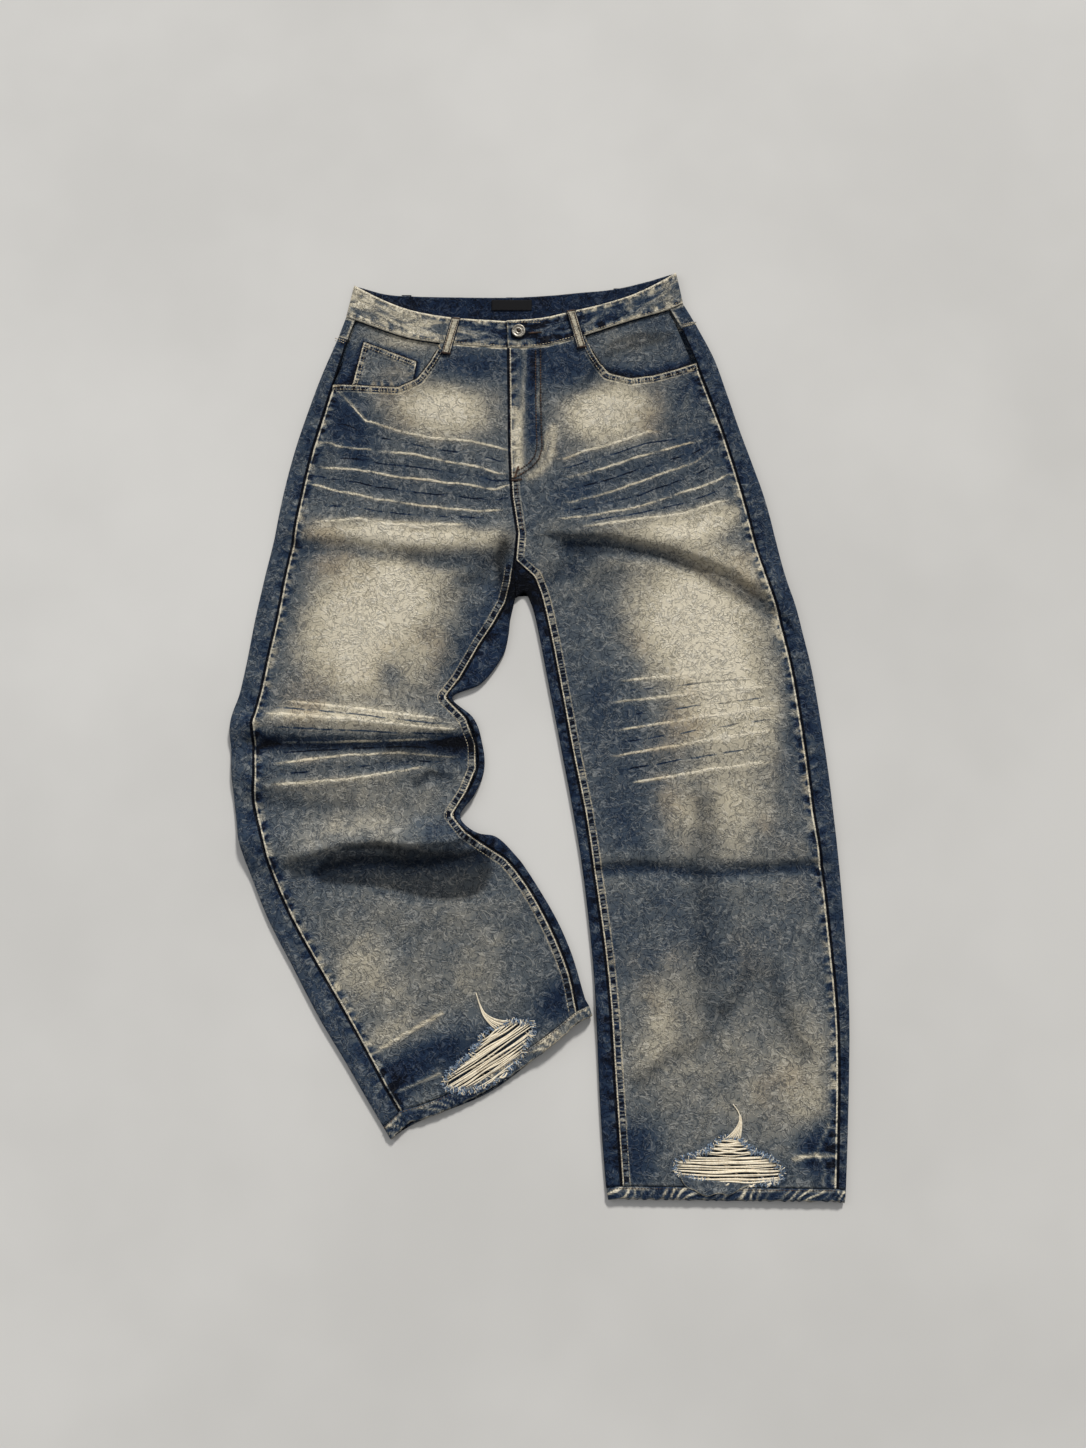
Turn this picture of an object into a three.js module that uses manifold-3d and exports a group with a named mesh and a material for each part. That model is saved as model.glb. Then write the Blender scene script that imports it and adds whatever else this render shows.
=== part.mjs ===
// Baggy five-pocket ripped jeans, laid flat on their back on a level surface.
// Millimetres. +Y runs from the hems to the waist, +Z is up, and the wearer's right leg is on -X.
import * as THREE from "three";
import { mergeVertices } from "three/addons/utils/BufferGeometryUtils.js";
import Module from "manifold-3d";

const wasm = await Module();
wasm.setup();

// Driving dimensions
const CLOTH = 1.3; // wall of one panel of heavy denim
const BAND_CLOTH = 2; // waistband, two layers
const HEM_CLOTH = 2.3; // turned hem, three layers
const THREADS_CLOTH = 1; // bare threads across a rip
const GAP = 0.3; // clearance between neighbouring pieces
const WAIST_GAP = 0.8; // below the waistband, whose edge curves
const SEAT_LIFT = CLOTH + GAP; // the seat lies on its patch pockets and loops
const LAID_HEIGHT = 6.6; // face of the front panels over the underside
const EDGE_HEIGHT = 6.2; // top of a folded side edge over the underside
const LEAST_HEIGHT = 2 * CLOTH + GAP + 0.3; // face of a front pressed onto its back
const FOLD_RADIUS = 3; // how far a folded edge rounds inwards
const FACING_DROP = 3; // pocket facing below the front panel's face
const LOWEST_FACING = SEAT_LIFT + 2 * CLOTH + GAP; // just over the back panel
const BAND_PROUD = 0.5; // waistband above the panel it is sewn to
const LOOP_WIDTH = 12;
const LOOP_LENGTH = 50;
const BUTTON_RADIUS = 8.5;
const ROW_STEP = 40; // longest distance between two sections of a leg
const FRONT_COLUMNS = 10;
const SCOOP_COLUMNS = 6; // of the front's columns, those that end on the pocket opening

// Sections of each half, from the waist seam to the hem. Each names four places in plan:
// the outer folded edge, the outseam, the front's inner edge (the centre-front seam, then the
// inseam) and the back's inner edge (the centre-back seam, then the inner folded edge).
const CROTCH_STATION = 6;
const HIP_STATION = 3;
const YOKE_STATION = 1;
const RIGHT_STATIONS = [
  [[-234, 495], [-222, 491], [-33, 454], [-31, 485]],
  [[-243, 468], [-231, 464], [-33, 425], [-31, 428]],
  [[-264, 413], [-247, 408], [-33, 387], [-30, 385]],
  [[-290, 329], [-270, 324], [-31, 322], [-29, 320]],
  [[-305, 262], [-283, 259], [-28, 262], [-28, 250]],
  [[-313, 213], [-291, 206], [-21, 215], [-25, 188]],
  [[-324, 160], [-301, 152], [-24, 183], [-23, 137]],
  [[-333, 112], [-307, 112], [-34, 130], [-29, 110]],
  [[-341, 60], [-316, 66], [-64, 80], [-36, 70]],
  [[-349, 18], [-323, 25], [-88, 37], [-64, 32]],
  [[-356, -4], [-328, 2], [-104, 16], [-97, 15]],
  [[-358, -20], [-331, -16], [-80, -8], [-73, -7]],
  [[-356, -46], [-330, -42], [-68, -40], [-61, -40]],
  [[-354, -76], [-327, -75], [-67, -70], [-59, -72]],
  [[-350, -106], [-328, -106], [-78, -98], [-70, -100]],
  [[-346, -132], [-321, -132], [-94, -124], [-86, -126]],
  [[-342, -154], [-314, -152], [-79, -143], [-67, -144]],
  [[-336, -172], [-309, -172], [-58, -157], [-45, -148]],
  [[-327, -194], [-302, -193], [-33, -173], [-19, -173]],
  [[-305, -245], [-280, -240], [-8, -204], [5, -208]],
  [[-276, -297], [-251, -290], [13, -240], [27, -246]],
  [[-245, -353], [-222, -337], [29, -274], [43, -283]],
  [[-215, -400], [-194, -384], [41, -306], [53, -316]],
  [[-191, -439], [-169, -428], [46, -330], [58, -333]],
  [[-169, -474], [-151, -457], [49, -346], [62, -340]],
  [[-160, -488], [-142, -471], [52, -358], [66, -352]],
];
const LEFT_STATIONS = [
  [[184, 513], [167, 505], [-33, 454], [-31, 485]],
  [[199, 486], [181, 479], [-33, 425], [-31, 428]],
  [[221, 440], [198, 436], [-33, 387], [-30, 385]],
  [[250, 348], [229, 346], [-31, 322], [-29, 320]],
  [[277, 265], [252, 263], [-28, 262], [-28, 250]],
  [[290, 210], [266, 203], [-21, 215], [-25, 188]],
  [[303, 155], [279, 155], [-24, 183], [-23, 137]],
  [[310, 132], [287, 132], [-1, 162], [-12, 144]],
  [[320, 90], [297, 90], [13, 116], [0, 116]],
  [[330, 40], [307, 40], [27, 45], [14, 45]],
  [[342, -55], [319, -55], [45, -55], [33, -55]],
  [[348, -120], [325, -120], [58, -120], [45, -120]],
  [[353, -190], [333, -190], [68, -190], [56, -190]],
  [[357, -280], [340, -280], [80, -280], [66, -282]],
  [[358, -345], [344, -345], [86, -345], [70, -345]],
  [[356, -401], [344, -401], [89, -401], [72, -401]],
  [[352, -470], [341, -470], [93, -470], [75, -470]],
  [[347, -541], [337, -540], [97, -537], [80, -539]],
  [[345, -555], [335, -554], [98, -551], [82, -552]],
];
const RIGHT_HEM_BOW = 15; // how far the rumpled hem runs below the line between its ends
const HEM_BOW_ROWS = 6; // stations over which that bow dies out

// The waistband's two edges: front halves from the side corner to the centre, back from side to side
const BAND_TOP_RIGHT = [[-225, 537], [-192, 519], [-155, 504], [-111, 495], [-68, 491], [-35, 490]];
const BAND_TOP_LEFT = [[176, 554], [149, 538], [118, 523], [81, 511], [45, 502], [6, 493], [-35, 490]];
const BAND_LOW_RIGHT = [
  [-234, 495], [-222, 491], [-191, 479], [-155, 467], [-111, 460], [-68, 456], [-33, 454],
];
const BAND_LOW_LEFT = [[184, 513], [167, 505], [118, 490], [80, 477], [45, 465], [6, 455], [-33, 454]];
const BAND_TOP_BACK = [[-225, 537], [-180, 526], [-105, 523], [-15, 523], [56, 529], [106, 535], [176, 554]];
const SEAT_TOP = [-31, 485]; // where the centre-back seam meets the waistband
const UNDERLAP = 42; // how far the right end runs on beneath the left

// Pocket openings, from the outseam round to the waistband
const SCOOP_RIGHT = [[-247, 408], [-208, 407], [-172, 404], [-148, 413], [-131, 435], [-117, 460]];
const SCOOP_LEFT = [[198, 436], [165, 425], [130, 417], [100, 418], [82, 433], [62, 470]];
const FACING_TUCK = 12; // how far a facing runs on beneath the front

// Patch pockets on the seat, with a shallow point below
const POCKET_TOP_WIDTH = 150;
const POCKET_LOW_WIDTH = 128;
const POCKET_SIDE = 140;
const POCKET_POINT = 22;
const POCKET_INSET = 52; // pocket's near edge from the centre-back seam
const POCKET_TOP_Y = 408;
const CENTRE_X = -30;

const CUT_TOP = 30; // above every fold

// The frayed rips near the hems, whose threads still cross them
const RIP_RIGHT = [
  [-96, -426], [-80, -404], [-66, -388], [-50, -368], [-28, -362],
  [-5, -366], [-14, -392], [-40, -418], [-70, -434],
];
const RIP_LEFT = [
  [160, -520], [190, -506], [214, -487], [227, -484], [243, -504],
  [271, -522], [258, -534], [208, -533], [175, -529],
];

// Large folds: a height over the laid cloth, the distance over which it dies out, and its line
const FOLDS = [
  [9, 13, [[-356, -18], [-330, -16], [-250, -22], [-90, -24]]],
  [-3, 14, [[-325, -46], [-200, -48], [-75, -44]]],
  [6, 13, [[-350, -78], [-220, -84], [-80, -82]]],
  [5, 12, [[-130, -118], [-95, -112], [-70, -98]]],
  [12, 20, [[-338, -156], [-300, -160], [-200, -164], [-95, -150]]],
  [4, 20, [[-285, 222], [-180, 218], [-70, 208]]],
  [-3, 14, [[-285, 192], [-180, 192], [-80, 190]]],
  [5, 10, [[-31, 222], [-60, 206], [-92, 180]]],
  [5, 18, [[40, 222], [130, 222], [205, 205], [270, 160]]],
  [-4, 13, [[38, 200], [125, 200], [195, 182], [258, 140]]],
  [-2, 10, [[78, 430], [60, 406], [38, 380]]],
  [-3, 10, [[80, -181], [200, -184], [330, -183]]],
  [4, 14, [[85, -160], [330, -158]]],
  [-4, 18, [[192, -100], [193, -170]]],
  [-4, 14, [[203, -205], [205, -285], [204, -355]]],
  [4, 18, [[165, -205], [168, -285], [172, -350]]],
  [4, 18, [[243, -205], [245, -290]]],
  [5, 12, [[135, -432], [215, -376], [250, -290]]],
  [4, 12, [[287, -320], [318, -378]]],
  [6, 22, [[15, -384], [60, -352]]],
  [4, 14, [[-150, -420], [-60, -372]]],
];

// Small helpers in plan and in space
const plan = ([x, y]) => new THREE.Vector3(x, y, 0);
const curveThrough = (points) => new THREE.CatmullRomCurve3(points.map(plan), false, "catmullrom", 0.5);
const between = (a, b, f) => a.clone().lerp(b, f);
const towards = (from, to, distance) => to.clone().sub(from).setZ(0).setLength(distance).add(from);
const atHeight = (p, z) => new THREE.Vector3(p.x, p.y, z);

function distanceToLine(x, y, line) {
  let nearest = Infinity;
  for (let i = 0; i + 1 < line.length; i++) {
    const [ax, ay] = line[i];
    const dx = line[i + 1][0] - ax;
    const dy = line[i + 1][1] - ay;
    const f = THREE.MathUtils.clamp(((x - ax) * dx + (y - ay) * dy) / (dx * dx + dy * dy), 0, 1);
    nearest = Math.min(nearest, Math.hypot(x - ax - f * dx, y - ay - f * dy));
  }
  return nearest;
}

function foldHeight(x, y) {
  let height = 0;
  for (const [rise, reach, line] of FOLDS) {
    height += rise * Math.exp(-((distanceToLine(x, y, line) / reach) ** 2));
  }
  return height;
}

const floorHeight = (p) => SEAT_LIFT * THREE.MathUtils.smoothstep(p.y, 190, 235);
const faceHeight = (p) => floorHeight(p) + Math.max(LAID_HEIGHT + foldHeight(p.x, p.y), LEAST_HEIGHT);
const edgeHeight = (p) => floorHeight(p) + EDGE_HEIGHT + 0.6 * Math.max(foldHeight(p.x, p.y), -1);

// A closed wall made from an outer face: its cells, the same cells moved inwards along the
// vertices' normals, and a rim along every open edge. Cells are quads of vertex numbers.
function wall(vertices, cells, thickness) {
  const triangles = cells.flatMap(([a, b, c, d]) => [[a, b, c], [a, c, d]]);
  const normals = vertices.map(() => new THREE.Vector3());
  const openEdges = new Map();
  for (const [a, b, c] of triangles) {
    const face = vertices[b].clone().sub(vertices[a]).cross(vertices[c].clone().sub(vertices[a]));
    for (const corner of [a, b, c]) normals[corner].add(face);
    for (const [from, to] of [[a, b], [b, c], [c, a]]) {
      if (!openEdges.delete(to + "," + from)) openEdges.set(from + "," + to, [from, to]);
    }
  }
  const inner = vertices.map((v, i) => v.clone().addScaledVector(normals[i].normalize(), -thickness));
  const count = vertices.length;
  const index = triangles.flatMap(([a, b, c]) => [a, b, c, count + a, count + c, count + b]);
  for (const [from, to] of openEdges.values()) {
    index.push(to, from, count + from, to, count + from, count + to);
  }
  const positions = [...vertices, ...inner].flatMap((v) => [v.x, v.y, v.z]);
  const geometry = new THREE.BufferGeometry();
  geometry.setAttribute("position", new THREE.Float32BufferAttribute(positions, 3));
  geometry.setIndex(index);
  return mergeVertices(geometry, 1e-4);
}

// A wall from rows of points; null points leave their cells out, and a ring closes on itself.
function sheet(rows, thickness, { flip = false, ring = false } = {}) {
  const numbers = new Map();
  const vertices = [];
  rows.forEach((row, i) => row.forEach((point, j) => {
    if (!point) return;
    numbers.set(i + "," + j, vertices.length);
    vertices.push(point);
  }));
  const cells = [];
  for (let i = 0; i + 1 < rows.length; i++) {
    const width = rows[i].length;
    for (let j = 0; j < (ring ? width : width - 1); j++) {
      const k = (j + 1) % width;
      const corners = [[i, j], [i, k], [i + 1, k], [i + 1, j]].map((c) => numbers.get(c.join(",")));
      if (corners.some((c) => c === undefined)) continue;
      cells.push(flip ? corners.reverse() : corners);
    }
  }
  return wall(vertices, cells, thickness);
}

// Sections of one half, with extra ones wherever two stations lie far apart
function sectionsOf(stations, hemBow) {
  const last = stations.length - 1;
  const hips = stations.slice(0, CROTCH_STATION + 1);
  const leg = stations.slice(CROTCH_STATION);
  const edges = [0, 1, 2, 3].map((k) => {
    const above = curveThrough(hips.map((s) => s[k]));
    const below = curveThrough(leg.map((s) => s[k]));
    return (station) => station < CROTCH_STATION
      ? above.getPoint(station / CROTCH_STATION)
      : below.getPoint((station - CROTCH_STATION) / (last - CROTCH_STATION));
  });
  const sections = [];
  for (let i = 0; i <= last; i++) {
    const measured = i < CROTCH_STATION ? 2 : 0;
    const step = i < last ? plan(stations[i][measured]).distanceTo(plan(stations[i + 1][measured])) : 0;
    const parts = Math.max(1, Math.ceil(step / ROW_STEP));
    for (let k = 0; k < (i < last ? parts : 1); k++) {
      const station = i + k / parts;
      const [fold, outseam, inner, back] = edges.map((edge) => edge(station));
      const bow = hemBow * THREE.MathUtils.smoothstep(station, last - HEM_BOW_ROWS, last);
      sections.push({ station, fold, outseam, inner, back, bow });
    }
  }
  return sections;
}

const bowed = (p, bow, s) => new THREE.Vector3(p.x, p.y - 4 * bow * s * (1 - s), p.z);

// Points of a folded edge, from its top round to its underside
function foldedEdge(fold, seam, lift) {
  const width = Math.hypot(fold.x - seam.x, fold.y - seam.y);
  const radius = Math.min(FOLD_RADIUS, 0.42 * width);
  const out = fold.clone().sub(seam).setZ(0).normalize();
  const low = floorHeight(fold);
  const middle = (low + edgeHeight(fold) + lift) / 2;
  return [90, 30, -30, -90].map((degrees) => {
    const angle = THREE.MathUtils.degToRad(degrees);
    const p = fold.clone().addScaledVector(out, radius * (Math.cos(angle) - 1));
    return atHeight(p, middle + (middle - low) * Math.sin(angle));
  });
}

// The strip beside a seam: level with the front at its edge, before it rounds down
function seamStrip(seam, fold, lift) {
  const width = Math.hypot(fold.x - seam.x, fold.y - seam.y);
  return [GAP / 2, 0.3 * width].map((distance) => {
    const p = towards(seam, fold, distance);
    return atHeight(p, faceHeight(seam) + lift);
  });
}

// The back's skin across one section: outer strip, outer fold, underside, inner fold, inner strip
function backSection({ station, fold, outseam, inner, back, bow }, lift = 0) {
  const outer = foldedEdge(fold, outseam, lift);
  const outerStrip = seamStrip(outseam, fold, lift);
  if (station < CROTCH_STATION) {
    const end = towards(back, fold, GAP / 2);
    const under = [between(outer[3], end, 0.5), end];
    for (const p of under) p.z = floorHeight(p);
    return [...outerStrip, ...outer, ...under, null, null, null, null, null];
  }
  const apart = station === CROTCH_STATION ? Math.sign(fold.x - back.x) * GAP : 0;
  const wrap = [...seamStrip(inner, back, lift), ...foldedEdge(back, inner, lift)].reverse();
  for (const p of wrap) p.x += apart;
  const under = bowed(between(outer[3], wrap[0], 0.5), bow, 0.5);
  under.z = floorHeight(under);
  return [...outerStrip, ...outer, under, ...wrap];
}

// The front's skin across one section, from the outseam to its inner edge
function frontSection({ station, fold, outseam, inner, bow }, lift = 0) {
  const from = towards(outseam, fold, -GAP / 2);
  const to = towards(inner, from, station === CROTCH_STATION ? 1.5 * GAP : GAP / 2);
  const points = [];
  for (let j = 0; j <= FRONT_COLUMNS; j++) {
    const s = j / FRONT_COLUMNS;
    const p = bowed(between(from, to, s), bow, s);
    points.push(atHeight(p, faceHeight(p) + lift));
  }
  return points;
}

// The front's top edge: round the pocket opening, then along the waist seam to the centre
function frontTop(scoop, bandLow, side) {
  const opening = curveThrough(scoop);
  const waist = curveThrough(bandLow);
  const corner = opening.getPoint(1);
  let start = 0;
  while (Math.abs(waist.getPoint(start).x) > Math.abs(corner.x)) start += 0.002;
  const points = [];
  for (let j = 0; j <= FRONT_COLUMNS; j++) {
    const onScoop = j / SCOOP_COLUMNS;
    const onWaist = (j - SCOOP_COLUMNS) / (FRONT_COLUMNS - SCOOP_COLUMNS);
    const p = j < SCOOP_COLUMNS
      ? opening.getPointAt(onScoop)
      : waist.getPoint(THREE.MathUtils.lerp(start, 1, onWaist));
    points.push(new THREE.Vector3(p.x, p.y - WAIST_GAP, 0));
  }
  points[0].x -= side * GAP / 2;
  points[FRONT_COLUMNS].x += side * GAP / 2;
  return points;
}

// Rows of the front: a fan from its top edge down to the hip, then one row for each section
function frontRows(sections, scoop, bandLow, side) {
  const top = frontTop(scoop, bandLow, side);
  const hip = sections.findIndex((s) => s.station >= HIP_STATION);
  const hipRow = frontSection(sections[hip]);
  const rows = [];
  const fanRows = 5;
  for (let i = 0; i < fanRows; i++) {
    const f = i / fanRows;
    rows.push(top.map((p, j) => {
      const q = between(p, hipRow[j], f);
      return atHeight(q, faceHeight(q));
    }));
  }
  return [...rows, ...sections.slice(hip).map((section) => frontSection(section))];
}

// A flat-sided prism over an outline, for cutting
function prism(outline, low, high, inset = 0) {
  const middle = outline.reduce((sum, p) => sum.add(plan(p)), plan([0, 0])).divideScalar(outline.length);
  const shape = new THREE.Shape(outline.map((p) => {
    const moved = towards(plan(p), middle, inset);
    return new THREE.Vector2(moved.x, moved.y);
  }));
  const geometry = new THREE.ExtrudeGeometry(shape, { depth: high - low, bevelEnabled: false });
  return geometry.translate(0, 0, low);
}

function solidOf(geometry) {
  const bare = geometry.clone();
  bare.deleteAttribute("normal");
  bare.deleteAttribute("uv");
  const merged = mergeVertices(bare, 1e-4);
  return new wasm.Manifold(new wasm.Mesh({
    numProp: 3,
    vertProperties: new Float32Array(merged.attributes.position.array),
    triVerts: new Uint32Array(merged.index.array),
  }));
}

function geometryOf(solid) {
  const mesh = solid.getMesh();
  const geometry = new THREE.BufferGeometry();
  geometry.setAttribute("position", new THREE.Float32BufferAttribute(mesh.vertProperties, 3));
  geometry.setIndex(new THREE.Uint32BufferAttribute(mesh.triVerts, 1));
  return geometry;
}

// Materials by sub-part
const finish = (color, roughness, metalness) =>
  new THREE.MeshStandardMaterial({ color, roughness, metalness });
const washedDenim = () => finish(0x54626f, 0.9, 0);
const darkDenim = () => finish(0x1f3350, 0.9, 0);
const bareThreads = () => finish(0xe2d8be, 0.95, 0);
const steel = () => finish(0x9a9a98, 0.35, 1);

const jeans = new THREE.Group();
function add(name, geometry, material) {
  const mesh = new THREE.Mesh(geometry, material);
  mesh.name = name;
  jeans.add(mesh);
}

// Legs: front, back, yoke and hem of each half, and the threads that fill its rip
function addHalf(side, stations, hemBow, scoop, bandLow, rip) {
  const name = side < 0 ? "right" : "left";
  const flip = side > 0;
  const sections = sectionsOf(stations, hemBow);
  const last = stations.length - 1;
  const hemTop = last - 1;
  const reaches = (from, to) => sections.filter((s) => s.station >= from && s.station <= to);

  // Draws a piece's end row back from the seam, towards the row beside it
  const drawBack = (rows, end, beside, gap) => {
    rows[end] = rows[end].map((p, j) => {
      const q = rows[beside][j];
      return p && q ? p.clone().add(q.clone().sub(p).setLength(gap)) : p;
    });
  };

  const yoke = reaches(0, YOKE_STATION).map((s) => backSection(s));
  drawBack(yoke, 0, 1, 2 * GAP);
  drawBack(yoke, yoke.length - 1, yoke.length - 2, GAP / 2);
  add("yoke_" + name, sheet(yoke, CLOTH, { flip }), darkDenim());

  const back = reaches(YOKE_STATION, hemTop).map((s) => backSection(s));
  drawBack(back, 0, 1, GAP / 2);
  drawBack(back, back.length - 1, back.length - 2, GAP / 2);
  add("back_" + name, sheet(back, CLOTH, { flip }), washedDenim());

  const front = frontRows(reaches(0, hemTop), scoop, bandLow, side);
  drawBack(front, front.length - 1, front.length - 2, GAP / 2);
  const panel = solidOf(sheet(front, CLOTH, { flip: !flip }));
  const hole = solidOf(prism(rip, CLOTH + GAP, CUT_TOP));
  add("front_" + name, geometryOf(panel.subtract(hole)), washedDenim());

  const lowered = front.map((row) => row.map((p) => atHeight(p, p.z - GAP)));
  const threads = solidOf(sheet(lowered, THREADS_CLOTH, { flip: !flip }));
  const reach = solidOf(prism(rip, 0, CUT_TOP, GAP));
  add("rip_threads_" + name, geometryOf(threads.intersect(reach)), bareThreads());

  const hem = reaches(hemTop, last).map((s) => {
    const lower = frontSection(s, 0.4).reverse();
    return [...backSection(s, 0.4), ...lower];
  });
  drawBack(hem, 0, 1, GAP / 2);
  add("hem_" + name, sheet(hem, HEM_CLOTH, { flip, ring: true }), darkDenim());
}

addHalf(-1, RIGHT_STATIONS, RIGHT_HEM_BOW, SCOOP_RIGHT, BAND_LOW_RIGHT, RIP_RIGHT);
addHalf(1, LEFT_STATIONS, 0, SCOOP_LEFT, BAND_LOW_LEFT, RIP_LEFT);

// Pocket facings, seen through the openings
function addFacing(name, side, scoop, bandLow) {
  const waist = curveThrough(bandLow.slice(1));
  const opening = curveThrough(scoop);
  const columns = 8;
  const rows = [];
  const end = scoop[scoop.length - 1][0] - side * FACING_TUCK;
  let stop = 0;
  while (Math.abs(waist.getPoint(stop).x) > Math.abs(end)) stop += 0.002;
  for (let i = 0; i <= 5; i++) {
    const row = [];
    for (let j = 0; j <= columns; j++) {
      const s = j / columns;
      const top = waist.getPoint(s * stop);
      top.y -= WAIST_GAP;
      const low = opening.getPointAt(s);
      low.x -= side * FACING_TUCK * s;
      low.y -= FACING_TUCK * (1 - 0.4 * s);
      const p = between(top, low, i / 5);
      if (j === 0) p.x -= side * GAP;
      row.push(atHeight(p, Math.max(faceHeight(p) - FACING_DROP, LOWEST_FACING)));
    }
    rows.push(row);
  }
  add("pocket_facing_" + name, sheet(rows, CLOTH, { flip: side < 0 }), washedDenim());
}
addFacing("right", -1, SCOOP_RIGHT, BAND_LOW_RIGHT);
addFacing("left", 1, SCOOP_LEFT, BAND_LOW_LEFT);

// Coin pocket, patched on the right facing
function patch(corners, columns, rowsCount, heightAt, thickness, flip) {
  const [a, b, c, d] = corners.map(plan);
  const rows = [];
  for (let i = 0; i <= rowsCount; i++) {
    const row = [];
    for (let j = 0; j <= columns; j++) {
      const p = between(between(a, b, j / columns), between(d, c, j / columns), i / rowsCount);
      row.push(atHeight(p, heightAt(p)));
    }
    rows.push(row);
  }
  return sheet(rows, thickness, { flip });
}
const coinThickness = 1.1;
const coinFace = (p) => faceHeight(p) - FACING_DROP + GAP + coinThickness;
const coinCorners = [[-212, 464], [-144, 437], [-150, 402], [-226, 402]];
add("coin_pocket", patch(coinCorners, 5, 4, coinFace, coinThickness, true), washedDenim());

// Patch pockets under the seat
for (const side of [-1, 1]) {
  const near = CENTRE_X + side * POCKET_INSET;
  const far = near + side * POCKET_TOP_WIDTH;
  const taper = (POCKET_TOP_WIDTH - POCKET_LOW_WIDTH) / 2;
  const outline = [
    [near, POCKET_TOP_Y],
    [far, POCKET_TOP_Y],
    [far - side * taper, POCKET_TOP_Y - POCKET_SIDE],
    [(near + far) / 2, POCKET_TOP_Y - POCKET_SIDE - POCKET_POINT],
    [near + side * taper, POCKET_TOP_Y - POCKET_SIDE],
  ];
  add("back_pocket_" + (side < 0 ? "right" : "left"), prism(outline, 0, CLOTH), darkDenim());
}

// Waistband: one strip, from the right end under the fly lap, round the back, to the left end
function addWaistband() {
  const rows = [];
  const push = (top, low, topZ, lowZ) => {
    const middle = atHeight(between(top, low, 0.5), (topZ + lowZ) / 2);
    rows.push([atHeight(top, topZ), middle, atHeight(low, lowZ)]);
  };
  const steps = 10;
  const rise = (p, lap) => faceHeight(p) + BAND_PROUD - lap;
  const frontHalf = (tops, lows, lap, turned) => {
    const topCurve = curveThrough(tops);
    const lowCurve = curveThrough(lows);
    const half = [];
    for (let i = 0; i <= steps; i++) {
      const f = i / steps;
      half.push([topCurve.getPointAt(f), lowCurve.getPointAt(f)]);
    }
    half[0] = half[0].map((p, k) => towards(p, half[1][k], FOLD_RADIUS));
    if (lap) {
      for (const ahead of [UNDERLAP / 2, UNDERLAP]) {
        half.push(half[steps].map((p) => new THREE.Vector3(p.x + ahead, p.y, 0)));
      }
    }
    if (turned) half.reverse();
    half.forEach(([top, low], i) => {
      const fromEnd = lap ? THREE.MathUtils.smoothstep(3 - i, 0, 1) : 0;
      push(top, low, rise(top, fromEnd * lap), rise(low, fromEnd * lap));
    });
  };
  const corner = (top, low, out, downwards) => {
    const angles = downwards ? [45, 0, -45] : [-45, 0, 45];
    for (const degrees of angles) {
      const angle = THREE.MathUtils.degToRad(degrees);
      const middle = (SEAT_LIFT + rise(low, 0)) / 2;
      const z = middle + (middle - SEAT_LIFT) * Math.sin(angle);
      const shift = FOLD_RADIUS * (Math.cos(angle) - 1);
      push(top.clone().addScaledVector(out, shift), low.clone().addScaledVector(out, shift), z, z);
    }
  };
  frontHalf(BAND_TOP_RIGHT, BAND_LOW_RIGHT, BAND_CLOTH + GAP, true);
  corner(plan(BAND_TOP_RIGHT[0]), plan(BAND_LOW_RIGHT[0]), new THREE.Vector3(-1, 0, 0), true);
  const backTop = curveThrough(BAND_TOP_BACK);
  for (let i = 0; i <= steps; i++) {
    const f = i / steps;
    const top = backTop.getPointAt(f);
    const seamEnd = plan(f < 0.5 ? BAND_LOW_RIGHT[0] : BAND_LOW_LEFT[0]);
    const low = between(plan(SEAT_TOP), seamEnd, Math.abs(2 * f - 1));
    if (i === 0 || i === steps) {
      const inwards = i === 0 ? FOLD_RADIUS : -FOLD_RADIUS;
      top.x += inwards;
      low.x += inwards;
    }
    push(top, low, SEAT_LIFT, SEAT_LIFT);
  }
  corner(plan(BAND_TOP_LEFT[0]), plan(BAND_LOW_LEFT[0]), new THREE.Vector3(1, 0, 0), false);
  frontHalf(BAND_TOP_LEFT, BAND_LOW_LEFT, 0, false);
  add("waistband", sheet(rows, BAND_CLOTH, { flip: true }), darkDenim());
}
addWaistband();

// Belt loops: two lie over the front of the band, three under its back
const loopFace = (p) => faceHeight(p) + BAND_PROUD + GAP + CLOTH;
const frontLoops = {
  belt_loop_front_right: [[-103, 495], [-91, 494], [-104, 443], [-116, 445]],
  belt_loop_front_left: [[38, 503], [50, 505], [64, 454], [52, 451]],
};
for (const [name, corners] of Object.entries(frontLoops)) {
  add(name, patch(corners, 1, 5, loopFace, CLOTH, true), washedDenim());
}
const backLoops = {
  belt_loop_back_right: [-160, 477],
  belt_loop_back_centre: [CENTRE_X, 474],
  belt_loop_back_left: [104, 486],
};
for (const [name, [x, low]] of Object.entries(backLoops)) {
  const geometry = new THREE.BoxGeometry(LOOP_WIDTH, LOOP_LENGTH, CLOTH);
  add(name, geometry.translate(x, low + LOOP_LENGTH / 2, CLOTH / 2), darkDenim());
}

// Plain label inside the back of the waistband
const labelThickness = 0.6;
const label = new THREE.BoxGeometry(50, 14, labelThickness);
label.translate(CENTRE_X + 1, 512, SEAT_LIFT + BAND_CLOTH + GAP + labelThickness / 2);
add("waist_label", label, finish(0x15161a, 0.8, 0));

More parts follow.
